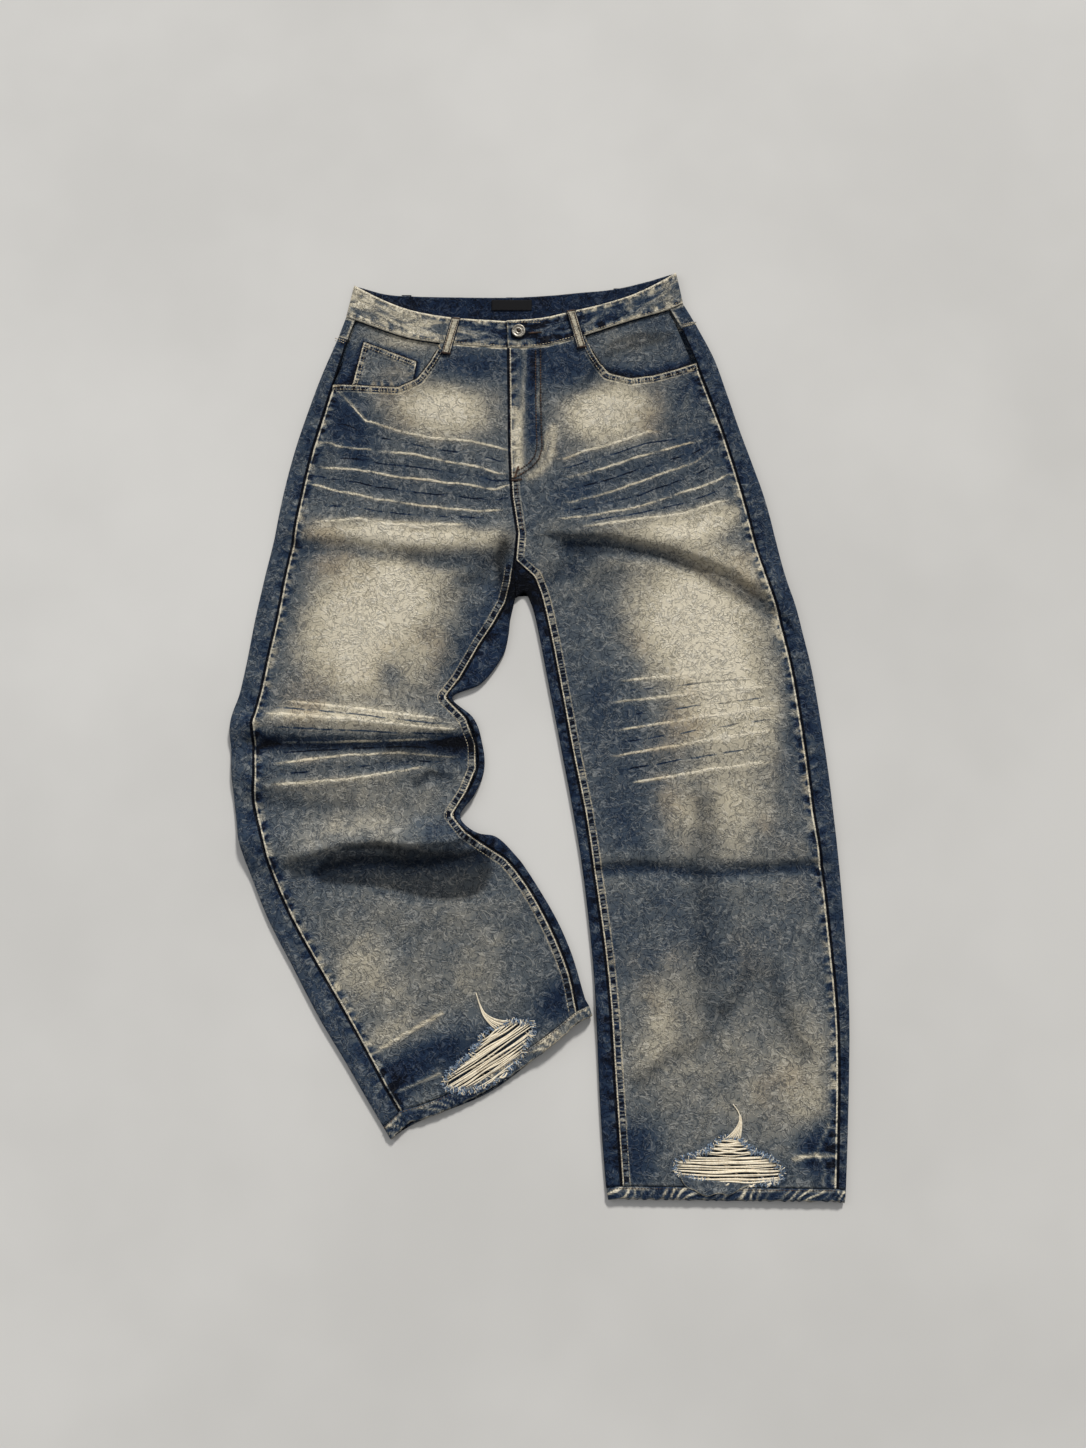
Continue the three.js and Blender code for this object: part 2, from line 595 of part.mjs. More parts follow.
// Tack button: a domed steel cap with a rolled rim and a dished centre, on a short shank
const buttonProfile = [
  [0, 0], [4, 0], [4, 1], [BUTTON_RADIUS - 0.6, 1], [BUTTON_RADIUS, 1.8], [BUTTON_RADIUS - 0.8, 3],
  [BUTTON_RADIUS - 2.6, 3.4], [BUTTON_RADIUS - 3.6, 2.6], [2.2, 2.4], [1.6, 3.2], [0, 3.4],
];
const button = new THREE.LatheGeometry(buttonProfile.map(([r, z]) => new THREE.Vector2(r, z)), 24);
const buttonPlace = plan([-20, 475]);
button.rotateX(Math.PI / 2);
button.translate(buttonPlace.x, buttonPlace.y, faceHeight(buttonPlace) + BAND_PROUD + GAP);
const closedButton = button.clone();
closedButton.deleteAttribute("normal");
closedButton.deleteAttribute("uv");
add("button", mergeVertices(closedButton, 1e-4), steel());

// The origin is under the middle of the laid jeans' box
const box = new THREE.Box3().setFromObject(jeans);
const middle = box.getCenter(new THREE.Vector3());
jeans.position.set(-middle.x, -middle.y, -box.min.z);

export default jeans;
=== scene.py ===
"""Worn, ripped jeans laid flat on a pale floor, the wearer's right leg bent.

Cloth and thread are worked out in millimetres, in plan with Y towards the waist, and scaled by MM as they
become meshes. The camera, the lamps, the floor and the button are in metres.
"""

import math

import bmesh
import bpy
import numpy as np
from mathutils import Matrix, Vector
from mathutils.bvhtree import BVHTree


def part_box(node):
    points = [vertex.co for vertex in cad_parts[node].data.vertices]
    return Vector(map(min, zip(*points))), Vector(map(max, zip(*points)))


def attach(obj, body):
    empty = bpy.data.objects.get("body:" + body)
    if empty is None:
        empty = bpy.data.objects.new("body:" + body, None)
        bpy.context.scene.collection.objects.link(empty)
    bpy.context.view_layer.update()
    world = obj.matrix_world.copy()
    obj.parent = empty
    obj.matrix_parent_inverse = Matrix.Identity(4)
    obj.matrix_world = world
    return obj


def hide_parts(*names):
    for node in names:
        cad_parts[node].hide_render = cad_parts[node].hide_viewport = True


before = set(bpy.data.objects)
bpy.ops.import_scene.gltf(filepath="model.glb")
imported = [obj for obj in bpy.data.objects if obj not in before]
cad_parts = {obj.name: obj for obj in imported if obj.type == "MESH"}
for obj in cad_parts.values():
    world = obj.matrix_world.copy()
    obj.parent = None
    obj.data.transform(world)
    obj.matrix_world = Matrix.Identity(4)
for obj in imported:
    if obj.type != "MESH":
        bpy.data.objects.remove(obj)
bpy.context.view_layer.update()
bpy.ops.object.select_all(action="DESELECT")
MM = 0.001

# ---------------------------------------------------------------------------------------------
# Camera, soft light and a plain pale floor. The jeans lie on the floor and are seen from above,
# ten degrees off the upright, from the hems' end.
# ---------------------------------------------------------------------------------------------
tilt = math.radians(10)
view_centre = Vector((0.010, -0.0145, 0))
view_distance = 1.66

camera_data = bpy.data.cameras.new("camera")
camera_data.sensor_fit = "VERTICAL"
camera_data.sensor_height = 36
camera_data.lens = 35
camera_data.clip_end = 20
camera = bpy.data.objects.new("camera", camera_data)
camera.location = view_centre + view_distance * Vector((0, -math.sin(tilt), math.cos(tilt)))
camera.rotation_euler = (tilt, 0, 0)
bpy.context.scene.collection.objects.link(camera)
bpy.context.scene.camera = camera


def lamp(name, place, target, size, power, tint):
    """A square soft box that faces its target."""
    data = bpy.data.lights.new(name, "AREA")
    data.size = size
    data.energy = power
    data.color = tint
    light = bpy.data.objects.new(name, data)
    light.location = place
    light.rotation_euler = (Vector(target) - Vector(place)).to_track_quat("-Z", "Y").to_euler()
    bpy.context.scene.collection.objects.link(light)


sun = bpy.data.lights.new("key", "SUN")
sun.energy = 3.1
sun.angle = math.radians(9)
sun.color = (1, 0.985, 0.955)
key = bpy.data.objects.new("key", sun)
key.rotation_euler = Vector((0.30, 1.0, 0.72)).to_track_quat("Z", "Y").to_euler()
bpy.context.scene.collection.objects.link(key)
lamp("fill", (-1.9, 0.6, 1.6), (0, 0, 0), 1.6, 9, (0.93, 0.96, 1))
world = bpy.data.worlds.new("studio")
world.use_nodes = True
world.node_tree.nodes["Background"].inputs["Color"].default_value = (0.96, 0.975, 1, 1)
world.node_tree.nodes["Background"].inputs["Strength"].default_value = 0.36
bpy.context.scene.world = world
bpy.context.scene.view_settings.view_transform = "Standard"

bpy.ops.mesh.primitive_plane_add(size=14, location=(0, 0, -0.0004))
floor = bpy.context.active_object
floor.name = "floor"


class Shade:
    """A socket in a material's nodes. Sums and products on it add Math nodes."""

    def __init__(self, tree, socket=None):
        self.tree = tree
        self.socket = socket

    def make(self, kind, settings=None, sockets=None, out=0):
        """Adds a node: its settings are set first, then its sockets' values or links."""
        node = self.tree.nodes.new(kind)
        for name, value in (settings or {}).items():
            if name == "stops":
                ramp = node.color_ramp
                while len(ramp.elements) < len(value):
                    ramp.elements.new(0.5)
                for element, (place, colour) in zip(ramp.elements, value):
                    element.position = place
                    element.color = (*colour, 1)
            else:
                setattr(node, name, value)
        for name, value in (sockets or {}).items():
            if isinstance(value, Shade):
                self.tree.links.new(value.socket, node.inputs[name])
            else:
                node.inputs[name].default_value = value
        return Shade(self.tree, node.outputs[out])

    def maths(self, operation, *values):
        return self.make("ShaderNodeMath", {"operation": operation}, dict(enumerate(values)))

    def __add__(self, other):
        return self.maths("ADD", self, other)

    def __sub__(self, other):
        return self.maths("SUBTRACT", self, other)

    def __mul__(self, other):
        return self.maths("MULTIPLY", self, other)

    def __rsub__(self, other):
        return self.maths("SUBTRACT", other, self)

    __radd__ = __add__
    __rmul__ = __mul__

    def ease(self, low, high, start=0.0, end=1.0):
        """Runs smoothly from start, at low, to end, at high."""
        sockets = {"Value": self, "From Min": low, "From Max": high, "To Min": start, "To Max": end}
        return self.make("ShaderNodeMapRange", {"interpolation_type": "SMOOTHSTEP"}, sockets)

    def noise(self, vector, scale, detail=3.0, roughness=0.55, distortion=0.0):
        sockets = {"Vector": vector, "Scale": scale, "Detail": detail}
        sockets.update({"Roughness": roughness, "Distortion": distortion})
        return self.make("ShaderNodeTexNoise", {}, sockets)

    def stretch(self, vector, amounts):
        """A vector multiplied part by part."""
        return self.make("ShaderNodeVectorMath", {"operation": "MULTIPLY"}, {0: vector, 1: amounts})

    def colour_mix(self, factor, first, second, blend="MIX"):
        """From the first colour to the second as factor goes from 0 to 1."""
        settings = {"data_type": "RGBA", "blend_type": blend}
        return self.make("ShaderNodeMix", settings, {0: factor, 6: first, 7: second}, out=2)


def srgb(red, green, blue):
    """A colour given in 0 to 255 steps, as the light values that a shader takes."""
    steps = (red, green, blue)
    return tuple(((c / 255 + 0.055) / 1.055) ** 2.4 if c > 10 else c / 255 / 12.92 for c in steps)


def new_material(name, roughness, metallic=0.0):
    """An empty material, its shader, a Shade to build from, and the places that patterns follow."""
    material = bpy.data.materials.new(name)
    material.use_nodes = True
    shader = material.node_tree.nodes["Principled BSDF"]
    shader.inputs["Roughness"].default_value = roughness
    shader.inputs["Metallic"].default_value = metallic
    shade = Shade(material.node_tree)
    return material, shader, shade, shade.make("ShaderNodeTexCoord", out=3)


def coloured(shader, paint):
    """Gives a shader its colour."""
    paint.tree.links.new(paint.socket, shader.inputs["Base Color"])


concrete, shader, shade, spot = new_material("pale_floor", 0.62)
cloud = shade.noise(spot, 2.2, 4.0).ease(0.3, 0.7)
coloured(shader, shade.colour_mix(cloud, (*srgb(197, 195, 191), 1), (*srgb(207, 205, 201), 1)))
floor.data.materials.append(concrete)

# ---------------------------------------------------------------------------------------------
# The denim's wash. One scalar, "wear", runs from raw indigo (0) to bleached sand (1); in deep folds it is
# also lowered as painted shade. It is painted on each panel's vertices; the shader adds crisp whiskers, roped
# seams, slubs and twill.
# ---------------------------------------------------------------------------------------------
INDIGO_STOPS = [
    (0.0, srgb(9, 15, 28)),
    (0.12, srgb(23, 38, 62)),
    (0.24, srgb(44, 59, 79)),
    (0.36, srgb(69, 79, 90)),
    (0.48, srgb(95, 101, 105)),
    (0.62, srgb(130, 129, 123)),
    (0.78, srgb(182, 174, 155)),
    (0.90, srgb(206, 196, 172)),
    (1.0, srgb(228, 218, 195)),
]


def denim(name, wear_shift=0.0, streak=0.0):
    """Stone-washed indigo twill; streak is how strongly it is rubbed in streaks along the piece."""
    material, shader, shade, spot = new_material(name, 0.9)
    shader.inputs["Specular IOR Level"].default_value = 0.12
    cloth = shade.make("ShaderNodeUVMap", {"uv_map": "cloth"})

    def painted(attribute):
        """What is painted on the cloth's points under this name."""
        return shade.make("ShaderNodeAttribute", {"attribute_name": attribute}, out=2)

    wear = painted("wear")
    rank = painted("whisker_rank")
    spacing = painted("whisker_gap")
    amount = painted("whisker_mask")
    seam = painted("seam_mm")
    along = painted("along_mm")
    rope = painted("rope")
    ladder = painted("ladder")
    edge_at = painted("edge_mm")
    smoke = painted("smoke")

    # Clouds where the stones rubbed, slubs along the warp, fine curled marks and a speckle
    blotch = shade.noise(spot, 16.0, 5.0, 0.62)
    mottle = shade.noise(spot, 62.0, 4.0, 0.65)
    brushed = shade.noise(spot, 27.0, 3.0, 0.5, 1.6)
    swirl = shade.noise(spot, 80.0, 2.0, 0.55, 0.9)
    eddy = shade.noise(shade.stretch(spot, (-1.0, 1.0, 1.0)), 98.0, 2.0, 0.55, 1.2)
    pale_curl = shade.maths("ABSOLUTE", swirl - 0.5).ease(0.05, 0.0)
    dark_curl = shade.maths("ABSOLUTE", eddy - 0.5).ease(0.05, 0.0)
    slub = shade.noise(shade.stretch(cloth, (1500.0, 130.0, 1.0)), 1.0, 2.0)
    cross = shade.noise(shade.stretch(cloth, (160.0, 1300.0, 1.0)), 1.0, 2.0)
    speck = shade.noise(spot, 640.0, 2.0, 0.7)
    tone = wear + wear_shift + (blotch - 0.5) * 0.18 + (mottle - 0.5) * 0.12 + (brushed - 0.5) * 0.26
    tone = tone + pale_curl * 0.07 - dark_curl * 0.07
    tone = tone + (slub - 0.5) * 0.22 + (cross - 0.5) * 0.16 + (speck - 0.5) * 0.18
    if streak:
        wisp = shade.noise(shade.stretch(cloth, (24.0, 80.0, 1.0)), 1.0, 3.0, 0.6, 0.9)
        tone = tone + wisp.ease(0.36, 0.64, -streak, streak)

    # Whiskers: a pale line at each whole rank, a dark line half-way between
    wobble = (shade.noise(spot, 45.0, 3.0) - 0.5) * 0.16
    place = rank + wobble
    off_line = shade.maths("ABSOLUTE", place - shade.maths("ROUND", place)) * spacing
    half = place + 0.5
    off_valley = shade.maths("ABSOLUTE", half - shade.maths("ROUND", half)) * spacing
    broken = shade.noise(spot, 60.0, 3.0, 0.7).ease(0.28, 0.52)
    uneven = shade.noise(spot, 22.0, 2.0).ease(0.35, 0.62, 0.55, 1.0)
    ridge = off_line.ease(2.2, 0.4) * broken * uneven
    glow = off_line.ease(8.0, 0.0)
    valley = off_valley.ease(1.5, 0.3) * shade.noise(spot, 48.0, 2.0).ease(0.42, 0.58)
    tone = tone + amount * (ridge * 0.56 + glow * 0.10 - valley * 0.40)

    # Beside each seam: a pale rubbed line, then short pale and dark patches
    patches = shade.make("ShaderNodeCombineXYZ", {}, {"X": along * 0.105, "Y": seam * 0.05})
    jumble = shade.noise(patches, 1.0, 2.0, 0.5)
    beside = seam.ease(15.0, 3.5) * rope
    edge = seam.ease(3.8, 2.8) * seam.ease(1.2, 1.7) * rope.ease(0.4, 0.7)
    edge = edge * shade.noise(spot, 50.0, 2.0).ease(0.2, 0.44)
    tone = tone + beside * jumble.ease(0.38, 0.62, -0.46, 0.42) + edge * 0.74

    # A felled seam: a rubbed ridge at its edge and pale ladder marks in the dark hollow beside it
    steps = shade.make("ShaderNodeCombineXYZ", {}, {"X": along * 0.40, "Y": seam * 0.05})
    rung = shade.noise(steps, 1.0, 2.0, 0.5).ease(0.44, 0.56)
    between = seam.ease(3.0, 3.8) * seam.ease(9.4, 8.4) * ladder
    ridge_line = seam.ease(3.3, 2.6) * seam.ease(1.2, 1.8) * ladder
    outer_line = seam.ease(8.8, 9.6) * seam.ease(11.4, 10.4) * ladder
    tone = tone + between * (rung * 0.62 - 0.42) + ridge_line * 0.74 + outer_line * 0.24

    # The seam itself is a black hairline, painted shade in the seam's narrow groove, and free edges rub pale
    tone = tone - seam.ease(1.7, 1.0) * 0.80
    rub = edge_at.ease(2.4, 0.8) * shade.noise(spot, 95.0, 3.0).ease(0.32, 0.56)
    tone = tone + rub * 0.45

    tone = shade.maths("MAXIMUM", shade.maths("MINIMUM", tone, 1.0), 0.0)
    indigo = shade.make("ShaderNodeValToRGB", {"stops": INDIGO_STOPS}, {"Fac": tone})
    rust = shade.noise(spot, 9.0, 3.0).ease(0.52, 0.72) * tone.ease(0.35, 0.8)
    colour = shade.colour_mix(rust * 0.35, indigo, (*srgb(176, 150, 112), 1))
    # The fine curls are also painted paler and darker, as painted light and shade of their embossed relief
    curl_highlight = pale_curl * tone.ease(0.12, 0.55, 0.03, 0.20)
    colour = shade.colour_mix(curl_highlight, colour, (*srgb(198, 200, 200), 1))
    colour = shade.colour_mix(dark_curl * 0.42, colour, (*srgb(120, 124, 132), 1), "MULTIPLY")
    # Painted shade: a grey multiply darkens the folds' hollows, the crotch and the shadow under the fold over
    # the right shin
    colour = shade.colour_mix(smoke, colour, (*srgb(132, 132, 134), 1), "MULTIPLY")
    coloured(shader, colour)

    # Twill ribs and yarn in the surface
    across_cloth = shade.make("ShaderNodeSeparateXYZ", {}, {"Vector": cloth})
    down_cloth = Shade(across_cloth.tree, across_cloth.socket.node.outputs[1])
    rib = shade.maths("SINE", (across_cloth + down_cloth * 1.9) * 3200.0)
    relief = rib * 0.2 + slub * 0.8 + mottle + pale_curl * 1.3 - dark_curl * 1.3 + ridge * amount
    relief = relief + beside * jumble * 2.4 + between * rung * 1.2
    bump = shade.make("ShaderNodeBump", {}, {"Strength": 0.8, "Distance": 0.0010, "Height": relief})
    shade.tree.links.new(bump.socket, shader.inputs["Normal"])
    return material


washed_denim = denim("washed_denim")

# ---------------------------------------------------------------------------------------------
# Back panels: 13 oz washed denim. Each runs from the outseam, which lies on top, round the folded side,
# under the leg and up round the inner fold to the inseam; the seat's part ends at the centre-back seam.
# Each is a fine grid laid through its CAD wall's sections, raised by its creases and made into a shell.
# ---------------------------------------------------------------------------------------------
PANEL_THICKNESS = 1.2
inside_denim = denim("inside_denim", -0.05)


def merged(node_name):
    """Corner points and triangles of a CAD node, with shared corners merged."""
    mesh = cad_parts[node_name].data
    mesh.calc_loop_triangles()
    points = np.array([v.co[:] for v in mesh.vertices])
    keys = np.round(points / (0.02 * MM)).astype(np.int64)
    _, first, same = np.unique(keys, axis=0, return_index=True, return_inverse=True)
    same = same.reshape(-1)
    triangles = np.array([t.vertices[:] for t in mesh.loop_triangles])
    triangles = same[triangles]
    whole = (triangles[:, 0] != triangles[:, 1]) & (triangles[:, 1] != triangles[:, 2])
    whole &= triangles[:, 2] != triangles[:, 0]
    return points[first], triangles[whole]


def edge_table(triangles):
    """Which triangles share each edge."""
    table = {}
    for number, triangle in enumerate(triangles):
        for k in range(3):
            edge = (int(triangle[k]), int(triangle[(k + 1) % 3]))
            table.setdefault((min(edge), max(edge)), []).append(number)
    return table


def island(points, triangles, want_low):
    """The connected island of triangles that reaches lowest, or that lies highest."""
    table = edge_table(triangles)
    group = -np.ones(len(triangles), int)
    count = 0
    for start in range(len(triangles)):
        if group[start] >= 0:
            continue
        stack = [start]
        group[start] = count
        while stack:
            triangle = triangles[stack.pop()]
            for k in range(3):
                edge = (int(triangle[k]), int(triangle[(k + 1) % 3]))
                for other in table[(min(edge), max(edge))]:
                    if group[other] < 0:
                        group[other] = count
                        stack.append(other)
        count += 1
    best = None
    most = np.bincount(group).max()
    for number in range(count):
        members = triangles[group == number]
        if len(members) < 0.4 * most:
            continue
        heights = points[members.reshape(-1), 2]
        key = -heights.min() if want_low else heights.mean()
        key += 1e-4 * len(members) / len(triangles)
        if best is None or key > best[0]:
            best = (key, members)
    return best[1]


def sections(node_name, rim, along, want_low, ring=False):
    """The grid of section points of a CAD wall's outer face, as rows by columns (NaN where there is
    none). rim is the longest edge across its thickness; along is the way its rows follow each other,
    or for a ring, whose only free edges are its first and last rows, the way those rows run."""
    points, triangles = merged(node_name)
    corners = points[triangles]
    sides = np.linalg.norm(corners - np.roll(corners, -1, axis=1), axis=2)
    face = island(points, triangles[sides.min(axis=1) > rim], want_low)
    table = edge_table(face)
    # In each triangle the edges run: along a row, down a column, diagonal, always in that turn
    best = (0, None)
    for number, triangle in enumerate(face):
        for k in range(3):
            a, b = int(triangle[k]), int(triangle[(k + 1) % 3])
            if len(table[(min(a, b), max(a, b))]) == 1:
                way = points[b] - points[a]
                score = abs(np.dot(way / np.linalg.norm(way), along)) * min(np.linalg.norm(way), 0.03)
                if score > best[0]:
                    best = (score, (number, k))
    place = {}
    number, k = best[1]
    if ring:
        k = (k + 1) % 3
    column_edge = {number: k}
    triangle = face[number]
    start = [int(triangle[(k - 1) % 3]), int(triangle[k]), int(triangle[(k + 1) % 3])]
    # start: row edge from start[0] to start[1], column edge from start[1] to start[2]
    place[start[0]] = (0, 0)
    place[start[1]] = (0, 1)
    place[start[2]] = (1, 1)
    queue = [number]
    for number in queue:
        k = column_edge[number]
        triangle = face[number]
        for turn, edge_kind in enumerate(("column", "diagonal", "row")):
            e = (k + turn) % 3
            a, b = int(triangle[e]), int(triangle[(e + 1) % 3])
            for other in table[(min(a, b), max(a, b))]:
                if other in column_edge:
                    continue
                mate = face[other]
                f = next(n for n in range(3) if {int(mate[n]), int(mate[(n + 1) % 3])} == {a, b})
                column = {"column": f, "diagonal": f - 1, "row": f + 1}[edge_kind] % 3
                column_edge[other] = column
                queue.append(other)
                apex = int(mate[(f + 2) % 3])
                if apex in place:
                    continue
                # The fourth corner of the cell, or the next corner on, from the three known ones
                third = int(triangle[(e + 2) % 3])
                pa, pb, pc = place[a], place[b], place[third]
                if edge_kind == "diagonal":
                    place[apex] = (pa[0] + pb[0] - pc[0], pa[1] + pb[1] - pc[1])
                elif edge_kind == "column":
                    near = a if pa[0] == pc[0] else b
                    far = b if near == a else a
                    step = place[near][1] - pc[1]
                    place[apex] = (place[far][0], place[far][1] + step)
                else:
                    near = a if pa[1] == pc[1] else b
                    far = b if near == a else a
                    step = place[near][0] - pc[0]
                    place[apex] = (place[far][0] + step, place[far][1])
    rows = [p[0] for p in place.values()]
    columns = [p[1] for p in place.values()]
    grid = np.full((max(rows) - min(rows) + 1, max(columns) - min(columns) + 1, 3), np.nan)
    for corner, (i, j) in place.items():
        grid[i - min(rows), j - min(columns)] = points[corner]
    return grid


def to_line(x, y, line):
    """How far each point lies from a line in plan, how far along the line that is, and on which side:
    1 for its left and -1 for its right."""
    best = np.full(x.shape, 1e9)
    along = np.zeros(x.shape)
    side = np.ones(x.shape)
    run = 0.0
    for (ax, ay), (bx, by) in zip(line[:-1], line[1:]):
        length = math.hypot(bx - ax, by - ay)
        if length < 1e-6:
            continue
        ux, uy = (bx - ax) / length, (by - ay) / length
        t = np.clip((x - ax) * ux + (y - ay) * uy, 0, length)
        dx, dy = x - ax - t * ux, y - ay - t * uy
        distance = np.hypot(dx, dy)
        nearer = distance < best
        best = np.where(nearer, distance, best)
        along = np.where(nearer, run + t, along)
        side = np.where(nearer, np.where(ux * dy - uy * dx >= 0, 1.0, -1.0), side)
        run += length
    return best, along, side


def through(knots, points, places):
    """A smooth curve that meets points (rows of numbers) at the knots, read at places."""
    steps = np.diff(knots)
    slopes = np.diff(points, axis=0) / steps[:, None]
    tangents = np.empty_like(points)
    tangents[0], tangents[-1] = slopes[0], slopes[-1]
    share = (steps[:-1] / (steps[:-1] + steps[1:]))[:, None]
    tangents[1:-1] = slopes[:-1] * (1 - share) + slopes[1:] * share
    span = np.clip(np.searchsorted(knots, places, side="right") - 1, 0, len(steps) - 1)
    h = steps[span][:, None]
    t = ((places - knots[span]) / steps[span])[:, None]
    return (
        points[span] * (2 * t**3 - 3 * t**2 + 1)
        + tangents[span] * h * (t**3 - 2 * t**2 + t)
        + points[span + 1] * (3 * t**2 - 2 * t**3)
        + tangents[span + 1] * h * (t**3 - t**2)
    )


def spread(knots, counts):
    """Places from the first knot to the last, with a given number of equal parts in each interval."""
    parts = [np.linspace(a, b, n, endpoint=False) for a, b, n in zip(knots[:-1], knots[1:], counts)]
    return np.concatenate(parts + [[knots[-1]]])


# Creases in plan, in millimetres: the height, how far it reaches to the line's left and to its right, and the
# line. A ridge that is steep on one side throws a shadow there, as a fold does that hangs over.
CREASES = [
    # Wearer's right thigh: trough below the hip whiskers, ridge from the crotch
    (2.4, 14, 9, [(-279, 216), (-222, 216), (-150, 205), (-75, 207), (-40, 214)]),
    (-3.9, 11, 11, [(-290, 200), (-222, 200), (-151, 188), (-112, 181), (-66, 184)]),
    (2.7, 12, 10, [(-28, 222), (-57, 199), (-80, 182), (-110, 166)]),
    (-2.4, 8, 8, [(-92, 156), (-57, 154)]),
    (1.8, 22, 22, [(-240, 150), (-190, 90), (-200, 30)]),
    (-1.4, 14, 14, [(-178, 120), (-160, 60), (-150, 20)]),
    (-1.8, 12, 12, [(-60, 100), (-90, 60), (-118, 36)]),
    # Right knee: ridge, deep valley, second ridge, hollow below
    (2.4, 9, 5, [(-336, -14), (-275, -9), (-181, -13), (-93, -20)]),
    (-3.9, 6, 6, [(-333, -38), (-251, -38), (-158, -36), (-64, -32)]),
    (2.1, 7, 7, [(-318, -62), (-239, -60), (-157, -54), (-90, -54)]),
    (-1.4, 3.5, 3.5, [(-290, -76), (-217, -74), (-157, -66), (-120, -63)]),
    (1.8, 7, 7, [(-318, -90), (-239, -86), (-157, -76), (-120, -70)]),
    (-3.3, 10, 10, [(-330, -106), (-272, -113), (-215, -113)]),
    (-2.7, 5, 5, [(-140, -90), (-122, -76), (-99, -80)]),
    (2.0, 12, 12, [(-120, -100), (-112, -125)]),
    # The fold over the lower leg
    (8.5, 24, 5, [(-262, -172), (-222, -156), (-180, -153), (-137, -158), (-93, -154), (-66, -143)]),
    (-3.6, 5, 14, [(-250, -188), (-207, -178), (-155, -178), (-93, -176), (-62, -168)]),
    (1.8, 10, 18, [(-215, -222), (-155, -234), (-75, -236), (-40, -222)]),
    # Right shin
    (1.7, 20, 20, [(-240, -240), (-190, -290), (-165, -330)]),
    (-1.5, 16, 16, [(-190, -235), (-140, -290), (-120, -350)]),
    (1.8, 18, 18, [(-90, -225), (-60, -290), (-40, -330)]),
    (1.2, 3.5, 3.5, [(-185, -395), (-150, -374), (-104, -348)]),
    (-1.4, 3.0, 3.0, [(-172, -415), (-130, -394), (-90, -378)]),
    (1.2, 3.0, 3.0, [(-156, -436), (-106, -414)]),
    # Wearer's left thigh: the long fold from the fly's end to the outseam
    (6.3, 26, 6, [(38, 216), (89, 217), (154, 203), (202, 187), (240, 172), (275, 145), (293, 120)]),
    (-3.6, 5, 12, [(40, 203), (89, 204), (150, 190), (202, 171), (236, 156), (268, 132)]),
    (-3.3, 9, 9, [(12, 150), (28, 165), (60, 183)]),
    (2.4, 10, 12, [(20, 140), (50, 150), (90, 180), (150, 176)]),
    (-2.0, 14, 14, [(75, 120), (100, 90), (115, 60)]),
    (2.0, 26, 26, [(170, 130), (195, 80), (200, 40)]),
    (-1.5, 16, 16, [(240, 110), (262, 60), (270, 20)]),
    # Left knee and shin
    (1.4, 10, 10, [(150, -100), (180, -120), (165, -160)]),
    (-3.3, 13, 13, [(199, -104), (196, -140), (197, -172)]),
    (2.0, 14, 14, [(228, -105), (236, -150)]),
    (-3.6, 6, 6, [(72, -187), (122, -184), (191, -189), (260, -187), (330, -182)]),
    (2.1, 12, 7, [(80, -172), (150, -172), (260, -173), (325, -170)]),
    (1.5, 9, 14, [(90, -204), (150, -206), (260, -206), (318, -200)]),
    (-1.8, 12, 12, [(197, -198), (197, -266), (197, -334), (206, -360)]),
    (-1.8, 9, 9, [(216, -352), (238, -326), (248, -290)]),
    (-1.8, 9, 9, [(200, -376), (190, -394), (144, -408), (112, -430)]),
    (-2.7, 11, 11, [(277, -312), (283, -360), (306, -395)]),
    (2.5, 16, 16, [(154, -305), (140, -370), (116, -416)]),
    (2.0, 18, 18, [(232, -390), (250, -440)]),
    (1.5, 16, 16, [(242, -240), (252, -290)]),
    (1.8, 14, 14, [(320, -380), (322, -450)]),
    # Creases from the pocket corners and over the left pocket
    (-2.7, 4, 4, [(56, 398), (66, 414), (80, 436)]),
    (-2.0, 4, 4, [(170, 374), (182, 396), (194, 414)]),
    (1.4, 4, 4, [(186, 384), (200, 400)]),
    (-1.5, 4, 4, [(-243, 400), (-222, 380), (-206, 362)]),
    (1.5, 4, 4, [(-252, 398), (-250, 370)]),
    (1.4, 12, 12, [(-190, 380), (-140, 372), (-90, 378)]),
    (1.4, 14, 14, [(80, 380), (130, 376), (170, 366)]),
]
